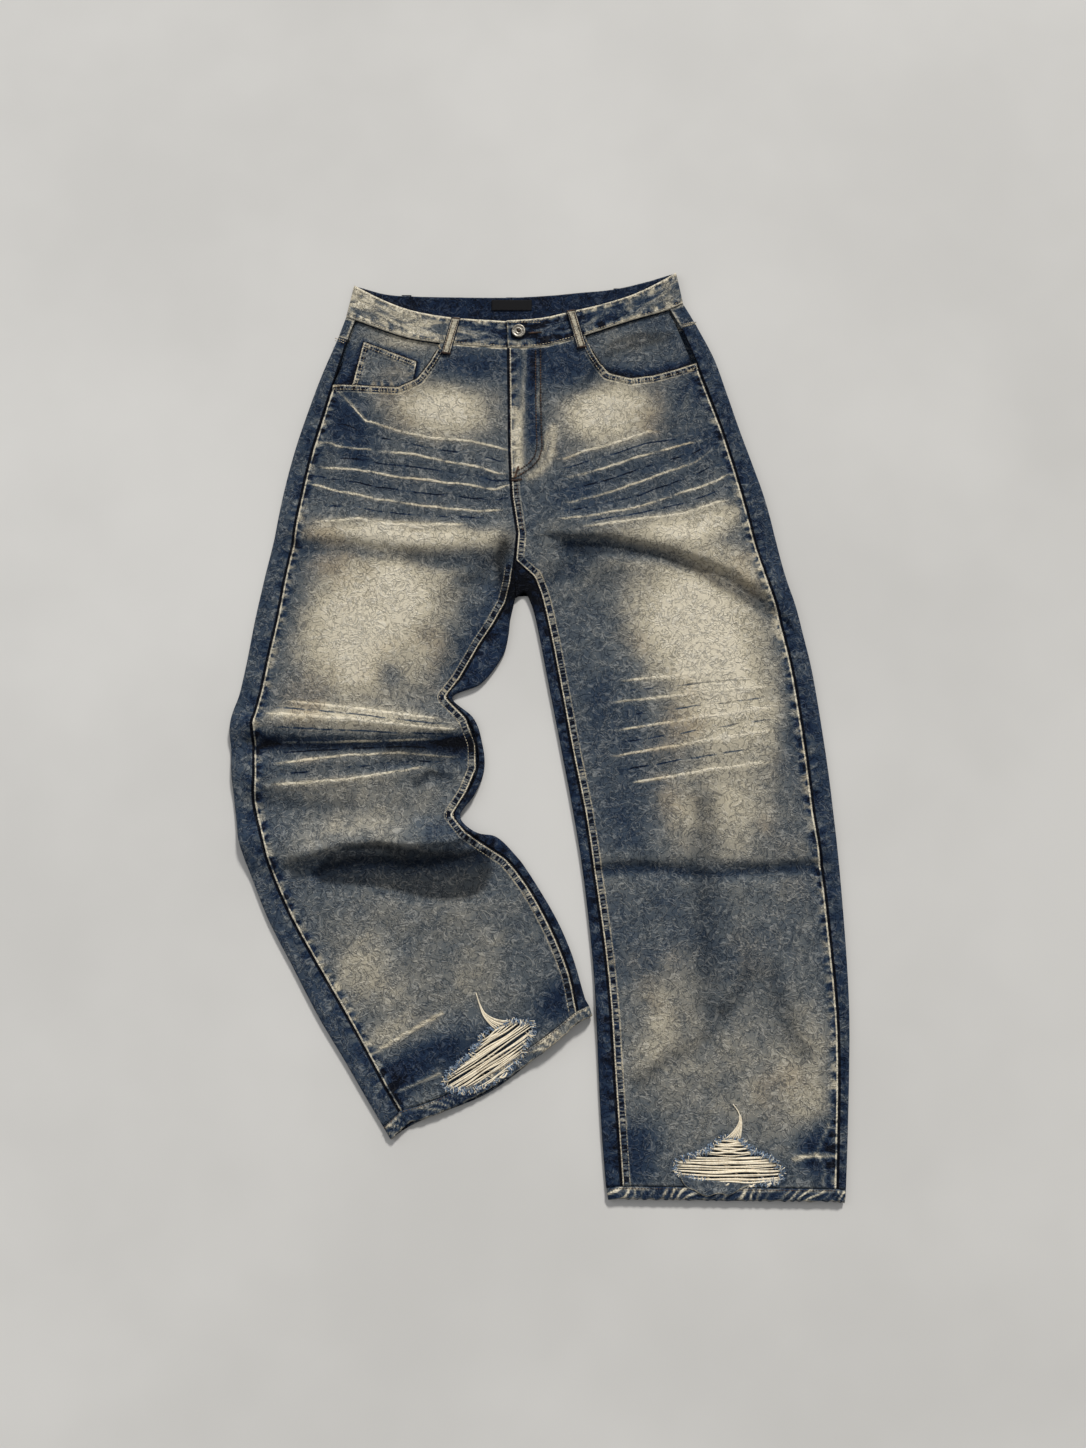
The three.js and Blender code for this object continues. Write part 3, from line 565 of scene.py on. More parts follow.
# Rubbed and dark patches: centre, reach across and along, turn in degrees, and how much paler, or below 0
# how much darker
FADES = [
    # Wearer's right hip
    (-116, 374, 60, 36, -8, 0.52), (-225, 352, 30, 62, 20, -0.25), (-78, 432, 56, 22, 0, -0.24),
    (-60, 372, 22, 30, 0, 0.05), (-150, 214, 120, 17, -3, 0.44), (-150, 275, 130, 55, -8, -0.06),
    # Right thigh
    (-196, 108, 102, 100, 0, 0.50), (-160, 130, 16, 62, 8, 0.12), (-214, 66, 14, 52, 0, 0.10),
    (-145, 150, 42, 40, 0, 0.12), (-222, 80, 48, 48, 0, 0.10),
    (-183, 170, 60, 22, 0, 0.08), (-172, 46, 13, 22, 20, -0.24), (-137, 94, 20, 20, 0, -0.14),
    (-70, 95, 34, 66, -25, -0.20), (-285, 140, 20, 70, -14, -0.16), (-240, 165, 26, 26, 0, -0.10),
    # Right knee
    # The first patch darkens the knee's deep valley: unworn indigo and painted shade
    (-82, -45, 52, 14, 3, -0.30), (-215, -12, 120, 17, -4, 0.24),
    (-180, -62, 90, 12, 4, -0.08), (-300, -55, 22, 30, 0, -0.10),
    # Below the right knee and its shin
    (-205, -116, 78, 28, 0, 0.17), (-210, -84, 90, 22, 4, 0.08), (-150, -340, 80, 50, -30, 0.05),
    (-160, -310, 90, 90, -30, 0.08), (-110, -140, 40, 22, 0, -0.10),
    (-90, -146, 56, 18, -4, -0.14), (-205, -300, 28, 76, -36, 0.16), (-110, -285, 70, 60, -30, 0.04),
    (-60, -290, 26, 50, -35, 0.10), (-150, -255, 40, 40, 0, -0.06), (-130, -402, 52, 22, 30, -0.34),
    (-75, -392, 26, 40, 30, -0.14), (-175, -440, 40, 22, 30, -0.30), (30, -335, 34, 22, 30, -0.30),
    (-170, -372, 40, 12, 32, 0.16),
    # Wearer's left hip
    (90, 372, 58, 43, 10, 0.57), (36, 430, 50, 34, 0, -0.30), (172, 380, 40, 34, 20, -0.08),
    (204, 330, 34, 20, 15, -0.16), (120, 280, 110, 45, 15, -0.10), (196, 396, 26, 20, 0, -0.14),
    (195, 230, 92, 20, 12, 0.40), (50, 250, 50, 34, 0, -0.10),
    # Left thigh
    (198, 112, 92, 92, 0, 0.56), (185, 130, 34, 34, 0, 0.10), (200, 70, 40, 40, 0, 0.10),
    (62, 90, 46, 90, 0, -0.04), (272, 130, 20, 60, -15, -0.08), (230, 160, 26, 26, 0, -0.06),
    # Left knee
    (92, -20, 44, 70, 0, -0.16), (236, -6, 68, 72, 0, 0.41), (300, -20, 14, 90, -6, -0.14),
    # Below the left knee and its shin
    (214, -118, 78, 50, 0, 0.29), (112, -130, 44, 50, 0, -0.16), (250, -165, 60, 18, 0, 0.08),
    (140, -250, 60, 60, 0, -0.08), (150, -350, 42, 70, -20, 0.10), (305, -400, 34, 66, 0, 0.18),
    (300, -445, 26, 26, 0, 0.08), (215, -300, 22, 110, 0, -0.04), (112, -495, 32, 40, 0, -0.30),
    (322, -500, 30, 30, 0, -0.42), (200, -420, 130, 110, 0, 0.14), (200, -525, 90, 14, 0, -0.10),
]
# Rubbed and dark lines: how much paler or darker, the width, and the line
STREAKS = [
    # The fly: a pale strip on its folded edge, raw indigo beside it, a rubbed halo round the J
    (0.66, 8.0, [(-22, 366), (-22, 304)]),
    (-0.26, 9.0, [(-3, 452), (-2, 335)]),
    (0.30, 2.6, [(-13, 450), (-12, 425), (-15, 398), (-14, 372)]),
    (0.34, 6.0, [(22, 350), (21, 318), (8, 298), (-6, 288)]),
    # Deep folds keep their indigo, and are darkened further as painted shade
    (-0.30, 8.0, [(-340, -38), (-251, -39), (-158, -37), (-60, -34)]),
    (-0.08, 12.0, [(-262, -190), (-207, -181), (-155, -182), (-93, -180), (-58, -168)]),
    (-0.08, 10.0, [(40, 200), (89, 201), (150, 187), (202, 168), (236, 153), (268, 129)]),
    (-0.06, 10.0, [(-290, 192), (-222, 192), (-151, 184), (-112, 178), (-66, 182)]),
    (-0.08, 7.0, [(72, -188), (122, -185), (191, -190), (260, -188), (330, -183)]),
    (-0.30, 14.0, [(-22, 168), (-30, 140)]),
    # Short rubbed lines
    (0.45, 1.6, [(-185, -395), (-150, -374), (-104, -348)]),
    (0.42, 1.5, [(-156, -436), (-106, -414)]),
    (0.40, 1.8, [(296, -506), (332, -503)]),
    (0.46, 1.7, [(-243, 400), (-222, 380), (-206, 360)]),
    (0.34, 1.5, [(-262, 372), (-254, 350)]),
    (0.30, 1.6, [(-250, 396), (-250, 372)]),
    (0.16, 2.6, [(183, 376), (190, 400)]),
    (0.50, 2.6, [(290, -508), (312, -503), (334, -506)]),
    (0.42, 2.0, [(314, -503), (322, -488), (330, -470)]),
    (0.34, 2.0, [(318, -506), (324, -522), (320, -532)]),
    (0.34, 2.4, [(4, 440), (5, 400), (3, 372)]),
    (0.30, 2.2, [(14, 345), (12, 322), (4, 306)]),
]


PLAIN_WEAR = 0.46


def wash(x, y):
    """How bleached the cloth is at each place in plan, before whiskers and seams, with painted shade in deep
    folds.
    """
    total = np.full(x.shape, PLAIN_WEAR)
    for cx, cy, reach_x, reach_y, turn, amount in FADES:
        c, s = math.cos(math.radians(turn)), math.sin(math.radians(turn))
        u = ((x - cx) * c + (y - cy) * s) / reach_x
        v = ((y - cy) * c - (x - cx) * s) / reach_y
        total = total + amount * np.exp(-((u * u + v * v) ** 1.5))
    for amount, width, line in STREAKS:
        total = total + amount * np.exp(-((to_line(x, y, line)[0] / width) ** 2))
    return total


def raised(x, y, creases):
    """The creases' height at each place in plan, in millimetres."""
    total = np.zeros(x.shape)
    for height, left, right, line in creases:
        distance, _, side = to_line(x, y, line)
        total = total + height * np.exp(-((distance / np.where(side > 0, left, right)) ** 2))
    return total


def fall(distance, width):
    """1 at no distance, easing to nothing past the width."""
    return np.exp(-((distance / width) ** 2))


def ripple(along, seed):
    """An uneven wave along a seam, from -1 to 1."""
    total = np.zeros(along.shape)
    for k, length in enumerate((17.0, 11.3, 8.1, 6.3)):
        drift = 1.5 * np.sin(along / (23 + 9 * k))
        total = total + np.sin(2 * np.pi * along / length + seed * 1.7 + k * 2.3 + drift)
    return total / 2.6


MARKS = ("wear", "whisker_rank", "whisker_gap", "whisker_mask", "seam_mm", "along_mm", "rope", "ladder",
         "edge_mm", "smoke")
UNMARKED = {"seam_mm": 99.0, "edge_mm": 99.0, "whisker_gap": 20.0}


def cloth_mesh(name, points, faces, marks, uv, material, thickness):
    """A sheet with its painted marks, thickened inwards, darker inside."""
    mesh = bpy.data.meshes.new(name)
    mesh.from_pydata((np.asarray(points) * MM).tolist(), [], np.asarray(faces).tolist())
    # Cloth that faces up stays at least its own thickness above the floor
    normals = np.empty(len(points) * 3, dtype=np.float32)
    mesh.vertices.foreach_get("normal", normals)
    laid = np.array(points, dtype=np.float32) * MM
    laid[:, 2] = np.where(normals[2::3] > 0.2, np.maximum(laid[:, 2], thickness * MM), laid[:, 2])
    mesh.vertices.foreach_set("co", laid.reshape(-1))
    for mark in MARKS:
        values = marks.get(mark, np.full(len(points), UNMARKED.get(mark, 0.0)))
        layer = mesh.attributes.new(mark, "FLOAT", "POINT")
        layer.data.foreach_set("value", np.asarray(values, dtype=np.float32).reshape(-1))
    corners = np.empty(len(mesh.loops), dtype=np.int32)
    mesh.loops.foreach_get("vertex_index", corners)
    layer = mesh.uv_layers.new(name="cloth")
    layer.data.foreach_set("uv", (np.asarray(uv)[corners] * MM).astype(np.float32).reshape(-1))
    mesh.materials.append(material)
    mesh.materials.append(inside_denim)
    mesh.polygons.foreach_set("use_smooth", np.ones(len(mesh.polygons), dtype=bool))
    piece = bpy.data.objects.new(name, mesh)
    bpy.context.scene.collection.objects.link(piece)
    solid = piece.modifiers.new("thickness", "SOLIDIFY")
    solid.thickness = thickness * MM
    solid.offset = -1
    solid.use_even_offset = False
    solid.material_offset = 1
    bpy.context.view_layer.objects.active = piece
    bpy.ops.object.modifier_apply(modifier=solid.name)
    # Nothing goes below the floor
    laid = np.empty(len(mesh.vertices) * 3, dtype=np.float32)
    mesh.vertices.foreach_get("co", laid)
    laid[2::3] = np.maximum(laid[2::3], 0.0)
    mesh.vertices.foreach_set("co", laid)
    mesh.update()
    return piece


def grid_faces(rows, columns, start=0, flip=False):
    """Faces of a grid of points numbered row by row."""
    i, j = np.meshgrid(np.arange(rows - 1), np.arange(columns - 1), indexing="ij")
    a = start + i * columns + j
    faces = np.stack([a, a + columns, a + columns + 1, a + 1], axis=-1).reshape(-1, 4)
    return faces[:, ::-1] if flip else faces


def outwards(points, faces, level):
    """The same faces, all turned over if those above a level face down."""
    corners = points[faces]
    turns = np.cross(corners[:, 1] - corners[:, 0], corners[:, 2] - corners[:, 0])[:, 2]
    return faces[:, ::-1] if turns[corners[:, :, 2].min(axis=1) > level].mean() < 0 else faces


def merge_same(points, faces, columns_of_marks):
    """Joins points that lie at the same place."""
    keys = np.round(np.asarray(points) * 50).astype(np.int64)
    _, first, same = np.unique(keys, axis=0, return_index=True, return_inverse=True)
    same = same.reshape(-1)
    return points[first], same[faces], {k: v[first] for k, v in columns_of_marks.items()}


# The hidden underside's own shallow creases, given as the others are
FLOOR_CREASES = [
    (0.7, 9, 9, [(-260, 330), (-180, 300), (-90, 305)]),
    (0.7, 8, 8, [(-280, 250), (-190, 232), (-70, 250)]),
    (0.8, 10, 10, [(-300, 60), (-200, 40), (-110, 50)]),
    (0.8, 9, 9, [(-330, -30), (-220, -44), (-90, -30)]),
    (0.7, 12, 12, [(-280, -190), (-180, -200), (-60, -200)]),
    (0.6, 12, 12, [(-230, -300), (-120, -330), (-20, -300)]),
    (0.7, 9, 9, [(60, 300), (140, 310), (230, 330)]),
    (0.7, 8, 8, [(40, 240), (140, 250), (250, 280)]),
    (0.8, 10, 10, [(70, 60), (180, 40), (300, 60)]),
    (0.8, 9, 9, [(70, -30), (180, -50), (320, -30)]),
    (0.7, 12, 12, [(90, -190), (200, -200), (330, -190)]),
    (0.6, 12, 12, [(110, -350), (220, -380), (330, -350)]),
]
# How pale the strips of the back that show beside each outseam are, and those beside the inseams
OUTSEAM_STRIP = {"right": 0.31, "left": 0.25}
INSEAM_STRIP = 0.16
CROTCH = (-14, 150)
# In the grid of a wall's sections: the rows in the seat, and the columns from the outseam round to under the
# leg. The columns past those start below the seat and end at the inseam.
HIP_ROWS = 8
OUTER_COLUMNS = 8
seam_lines = {}

for side, node_name in (("right", "back_right"), ("left", "back_left")):
    grid = sections(node_name, 1.5 * MM, Vector((0, 1, 0)), True) / MM
    if np.isnan(grid[-1, :, 0]).any():
        grid = grid[::-1]
    if np.isnan(grid[0, 0, 0]):
        grid = grid[:, ::-1]
    steps = np.linalg.norm(np.diff(grid[:, :OUTER_COLUMNS], axis=0), axis=2).mean(axis=1)
    row_knots = np.concatenate([[0], np.cumsum(steps)])
    row_places = spread(row_knots, np.maximum(1, np.round(steps / 3.2)).astype(int))
    crotch_at = row_knots[HIP_ROWS]
    first_leg = int(np.argmin(np.abs(row_places - crotch_at)))

    def woven(part, knots, counts):
        """A finer grid through a part of the sections."""
        columns = part.shape[1]
        rows = row_places[row_places >= knots[0] - 1e-9]
        down = through(knots, part.reshape(len(part), columns * 3), rows)
        down = down.reshape(-1, columns, 3)
        widths = np.median(np.linalg.norm(np.diff(part, axis=1), axis=2), axis=0)
        across_knots = np.concatenate([[0], np.cumsum(widths)])
        places = spread(across_knots, counts)
        flat = through(across_knots, down.transpose(1, 0, 2).reshape(columns, -1), places)
        return flat.reshape(len(places), -1, 3).transpose(1, 0, 2), places

    outer, outer_across = woven(grid[:, :OUTER_COLUMNS], row_knots, [2, 7, 3, 2, 2, 9, 9])
    inner, inner_across = woven(grid[HIP_ROWS:, OUTER_COLUMNS - 1:], row_knots[HIP_ROWS:], [2, 2, 3, 3, 2])
    inner[:, 0] = outer[first_leg:, -1]
    seam_lines[side] = {"outseam": outer[:, 0], "inseam": inner[:, -1], "first_leg": first_leg}

    points = np.concatenate([outer.reshape(-1, 3), inner.reshape(-1, 3)])
    size = outer.shape[0] * outer.shape[1]
    flip = side == "right"
    outer_faces = grid_faces(*outer.shape[:2], 0, flip)
    faces = np.concatenate([outer_faces, grid_faces(*inner.shape[:2], size, flip)])
    across = np.concatenate([
        np.broadcast_to(outer_across, outer.shape[:2]).reshape(-1),
        np.broadcast_to(outer_across[-1] + inner_across, inner.shape[:2]).reshape(-1),
    ])
    down = np.concatenate([
        np.broadcast_to(row_places[:, None], outer.shape[:2]).reshape(-1),
        np.broadcast_to(row_places[first_leg:, None], inner.shape[:2]).reshape(-1),
    ])
    points, faces, columns = merge_same(points, faces, {"across": across, "down": down})
    x, y = points[:, 0], points[:, 1]
    out_distance, out_along, _ = to_line(x, y, seam_lines[side]["outseam"][::3, :2])
    in_distance, in_along, _ = to_line(x, y, seam_lines[side]["inseam"][::3, :2])
    nearer_out = out_distance < in_distance
    seam = np.minimum(out_distance, in_distance)
    along = np.where(nearer_out, out_along, in_along)
    top = np.clip((points[:, 2] - 1.8) / 3.0, 0, 1)
    pucker = 0.25 * ripple(along, 1.0) * fall(seam - 5, 5)
    lift = top * (raised(x, y, CREASES) * np.clip(seam / 30, 0.75, 1) + pucker)
    lift = lift - top * 0.5 * fall(seam, 1.3)
    under = (1 - top) * np.clip(seam / 40, 0, 1) * raised(x, y, FLOOR_CREASES)
    points[:, 2] = np.maximum(points[:, 2] + lift + under, 0.0)
    # Painted shade at the crotch's dark gap: the strips there are darker and take a strong grey multiply
    crotch_shade = fall(np.hypot(x - CROTCH[0], y - CROTCH[1]), 34)
    strip = np.where(nearer_out, OUTSEAM_STRIP[side], INSEAM_STRIP) - 0.2 * crotch_shade
    strip = strip - (0.04 * fall(y + 470, 34) if side == "right" else 0.0)
    wear = np.where(top > 0.3, strip, 0.34 + 0.6 * (wash(x, y) - PLAIN_WEAR))
    rope = np.where(top > 0.3, 0.3, 0.0)
    marks = {"wear": wear, "seam_mm": seam, "along_mm": along, "rope": rope, "smoke": 0.9 * crotch_shade}
    uv = np.stack([columns["across"], columns["down"]], axis=1)
    piece = cloth_mesh(f"back_panel_{side}", points, faces, marks, uv, washed_denim, PANEL_THICKNESS)
    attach(piece, "root")
    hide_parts(node_name)

# ---------------------------------------------------------------------------------------------
# Fronts: the same denim, cut away at the pocket openings and joined to the backs at both seams. Each is
# sanded with whiskers across the hip and knee, and has one rip above its hem.
# ---------------------------------------------------------------------------------------------
# Whiskers: the sanded lines across each hip and knee, from the top one down
HIP_LINES_RIGHT = [
    [(-230, 387), (-206, 360), (-189, 355), (-164, 346), (-124, 337), (-79, 334), (-36, 323)],
    [(-255, 332), (-237, 326), (-188, 320), (-152, 317), (-103, 307), (-66, 300), (-42, 291)],
    [(-258, 300), (-212, 296), (-163, 287), (-90, 279), (-48, 272), (-30, 278)],
    [(-272, 279), (-236, 270), (-187, 259), (-126, 250), (-66, 244), (-42, 246)],
    [(-253, 230), (-211, 235), (-192, 229), (-162, 226), (-90, 228)],
]
HIP_LINES_LEFT = [
    [(37, 311), (67, 323), (104, 333), (140, 346)],
    [(43, 288), (79, 297), (128, 314), (177, 328), (210, 337)],
    [(43, 255), (85, 267), (134, 284), (194, 306), (215, 323)],
    [(37, 233), (79, 239), (127, 249), (176, 267), (218, 281), (237, 293)],
    [(67, 224), (133, 234), (181, 241), (224, 257)],
]
KNEE_LINES_RIGHT = [
    [(-282, 11), (-217, 3), (-146, -6), (-123, -9)],
    [(-311, -3), (-217, -11), (-123, -21), (-97, -23)],
    [(-292, -37), (-240, -37), (-193, -36), (-120, -33)],
    [(-295, -63), (-227, -53), (-157, -50), (-93, -56)],
    [(-296, -88), (-215, -81), (-134, -68)],
]
KNEE_LINES_LEFT = [
    [(109, 37), (231, 48)],
    [(95, 11), (272, 29)],
    [(98, -23), (271, 3)],
    [(98, -53), (270, -24)],
    [(115, -86), (182, -74), (269, -61)],
]
WHISKERS = [HIP_LINES_RIGHT, HIP_LINES_LEFT, KNEE_LINES_RIGHT, KNEE_LINES_LEFT]


def whisker_marks(x, y, sets):
    """For each place: its rank among the whisker lines, the gap between them there, and a mask."""
    rank = np.full(x.shape, -9.0)
    gap = np.full(x.shape, 20.0)
    mask = np.zeros(x.shape)
    for lines in sets:
        heights = np.array([np.interp(x, [p[0] for p in line], [p[1] for p in line]) for line in lines])
        starts = np.array([line[0][0] for line in lines])
        ends = np.array([line[-1][0] for line in lines])
        here = np.where(y > heights[0], (heights[0] - y) / 20.0, len(lines) - 1 + (heights[-1] - y) / 20.0)
        here_gap = np.full(x.shape, 20.0)
        for k in range(len(lines) - 1):
            between = (y <= heights[k]) & (y > heights[k + 1])
            span = np.maximum(heights[k] - heights[k + 1], 2.0)
            here = np.where(between, k + (heights[k] - y) / span, here)
            here_gap = np.where(between, span, here_gap)
        start = np.interp(here, range(len(lines)), starts)
        end = np.interp(here, range(len(lines)), ends)
        inside = np.clip((x - start + 12) / 22, 0, 1) * np.clip((end + 12 - x) / 22, 0, 1)
        inside = inside * np.clip((here + 0.45) / 0.2, 0, 1)
        inside = inside * np.clip((len(lines) - 0.55 - here) / 0.2, 0, 1)
        closer = inside > mask
        rank = np.where(closer, here, rank)
        gap = np.where(closer, here_gap, gap)
        mask = np.maximum(mask, inside)
    return rank, gap, mask


def whisker_relief(x, y):
    """The ridge along each whisker line and the narrow groove half-way between."""
    rank, gap, mask = whisker_marks(x, y, WHISKERS)
    off_line = np.abs(rank - np.round(rank)) * gap
    off_valley = np.abs(rank + 0.5 - np.round(rank + 0.5)) * gap
    return mask * (0.55 * fall(off_line, 4.0) - 0.45 * fall(off_valley, 3.0))


# Each rip's edge
RIPS = {
    "right": [
        (-101, -422), (-95, -414), (-89, -411), (-84, -404), (-78, -402), (-72, -395), (-66, -388),
        (-61, -378), (-56, -374), (-50, -368), (-44, -365), (-36, -363), (-27, -358), (-16, -360),
        (-5, -359), (-1, -367), (-6, -375), (-10, -384), (-14, -393), (-22, -403), (-28, -408),
        (-33, -417), (-45, -421), (-52, -427), (-61, -428), (-72, -434), (-83, -433), (-97, -431),
    ],
    "left": [
        (157, -514), (163, -509), (172, -507), (185, -503), (194, -499), (202, -493), (208, -488),
        (219, -485), (230, -487), (236, -495), (244, -500), (252, -504), (260, -507), (268, -511),
        (275, -521), (273, -530), (262, -533), (251, -532), (240, -534), (229, -531), (215, -533),
        (201, -531), (187, -530), (173, -528), (164, -525), (159, -519),
    ],
}


def within(x, y, outline):
    """Which places lie inside an outline."""
    inside = np.zeros(x.shape, dtype=bool)
    for (ax, ay), (bx, by) in zip(outline, outline[1:] + outline[:1]):
        crosses = (ay > y) != (by > y)
        at = (bx - ax) * (y - ay) / np.where(by == ay, 1e-9, by - ay) + ax
        inside ^= crosses & (x < at)
    return inside


def outline_of(triangles):
    """The longest loop of free edges round a face, as corner numbers."""
    free = {}
    for (a, b), owners in edge_table(triangles).items():
        if len(owners) == 1:
            triangle = [int(n) for n in triangles[owners[0]]]
            k = triangle.index(a)
            if triangle[(k + 1) % 3] == b:
                free[a] = b
            else:
                free[b] = a
    loops = []
    while free:
        start, after = next(iter(free.items()))
        loop = [start]
        while after != start and after in free:
            loop.append(after)
            after = free[after]
        for corner in loop:
            free.pop(corner, None)
        loops.append(loop)
    return max(loops, key=len)


def measure(line):
    """How far along a line each of its points is."""
    return np.concatenate([[0], np.cumsum(np.linalg.norm(np.diff(line, axis=0), axis=1))])


def read(line, places):
    """A line's points at given distances along it."""
    run = measure(line)
    return np.stack([np.interp(places, run, line[:, k]) for k in range(line.shape[1])], axis=1)


# How far the pocket opening runs in from the outseam along a front's top edge
SCOOP_LENGTH = 150
# The fly's J-shaped row of stitches
J_LINE = [(7, 452), (7, 400), (8, 345), (9, 325), (5, 310), (-6, 298), (-20, 289), (-29, 285)]
# Painted shade in the folds' hollows, the crotch, a pocket corner and beside the fly's J: how strong, its
# reach to the line's left and to its right, and the line
PAINTED_SHADE_LINES = [
    (0.50, 20, 4, [
        (44, 195), (92, 195), (128, 191), (163, 184), (199, 168), (225, 149), (247, 137), (283, 118),
    ]),
    (0.30, 12, 12, [(-151, 190), (-112, 181), (-66, 184)]),
    (0.20, 12, 10, [(-290, 196), (-222, 198), (-151, 190)]),
    (0.35, 14, 4, [(-36, 199), (-65, 176), (-90, 152), (-107, 144)]),
    (0.25, 20, 20, [(20, 160), (60, 182), (90, 168)]),
    (0.80, 8, 11, [(-340, -38), (-251, -40), (-158, -38), (-60, -34)]),
    (0.50, 5, 6, [(-136, -87), (-122, -75), (-101, -79)]),
    (0.55, 8, 11, [(-170, -50), (-110, -49), (-60, -46)]),
    (0.30, 12, 12, [(-327, -105), (-272, -113), (-220, -113)]),
    (0.95, 8, 8, [(-36, 203), (-42, 184), (-39, 159), (-33, 144)]),
    (0.40, 8, 5, [(72, -187), (122, -184), (191, -189), (260, -187), (318, -182)]),
    (0.42, 16, 16, [(197, -110), (198, -140), (195, -170)]),
    (0.38, 15, 15, [(193, -195), (196, -266), (197, -334), (206, -352)]),
    (0.42, 10, 10, [(216, -346), (234, -323), (246, -295)]),
    (0.42, 10, 10, [(196, -372), (176, -384), (142, -406), (121, -424)]),
    (0.42, 12, 12, [(270, -310), (279, -334), (289, -367), (302, -389)]),
    (0.35, 6, 8, [(61, 402), (66, 414), (80, 436)]),
    (0.55, 3, 3, J_LINE),
]
# The crisp-edged painted shadow that the fold hanging over the right shin casts on it
OVERHANG_SHADOW = [
    (-239, -172), (-213, -160), (-179, -156), (-149, -162), (-109, -165), (-74, -162), (-52, -164),
    (-48, -187), (-56, -208), (-72, -219), (-103, -221), (-131, -218), (-160, -210), (-189, -205),
    (-218, -203), (-247, -202), (-255, -190),
]


def painted_shade_at(x, y):
    """How strong the painted shade is at each place in plan."""
    outline = np.array(OVERHANG_SHADOW + OVERHANG_SHADOW[:1], dtype=float)
    depth = to_line(x, y, outline)[0] * np.where(within(x, y, OVERHANG_SHADOW), 1, -1)
    patch = 0.84 * np.clip(0.5 + depth / 5, 0, 1)
    return np.clip(np.maximum(raised(x, y, PAINTED_SHADE_LINES), patch), 0, 1)


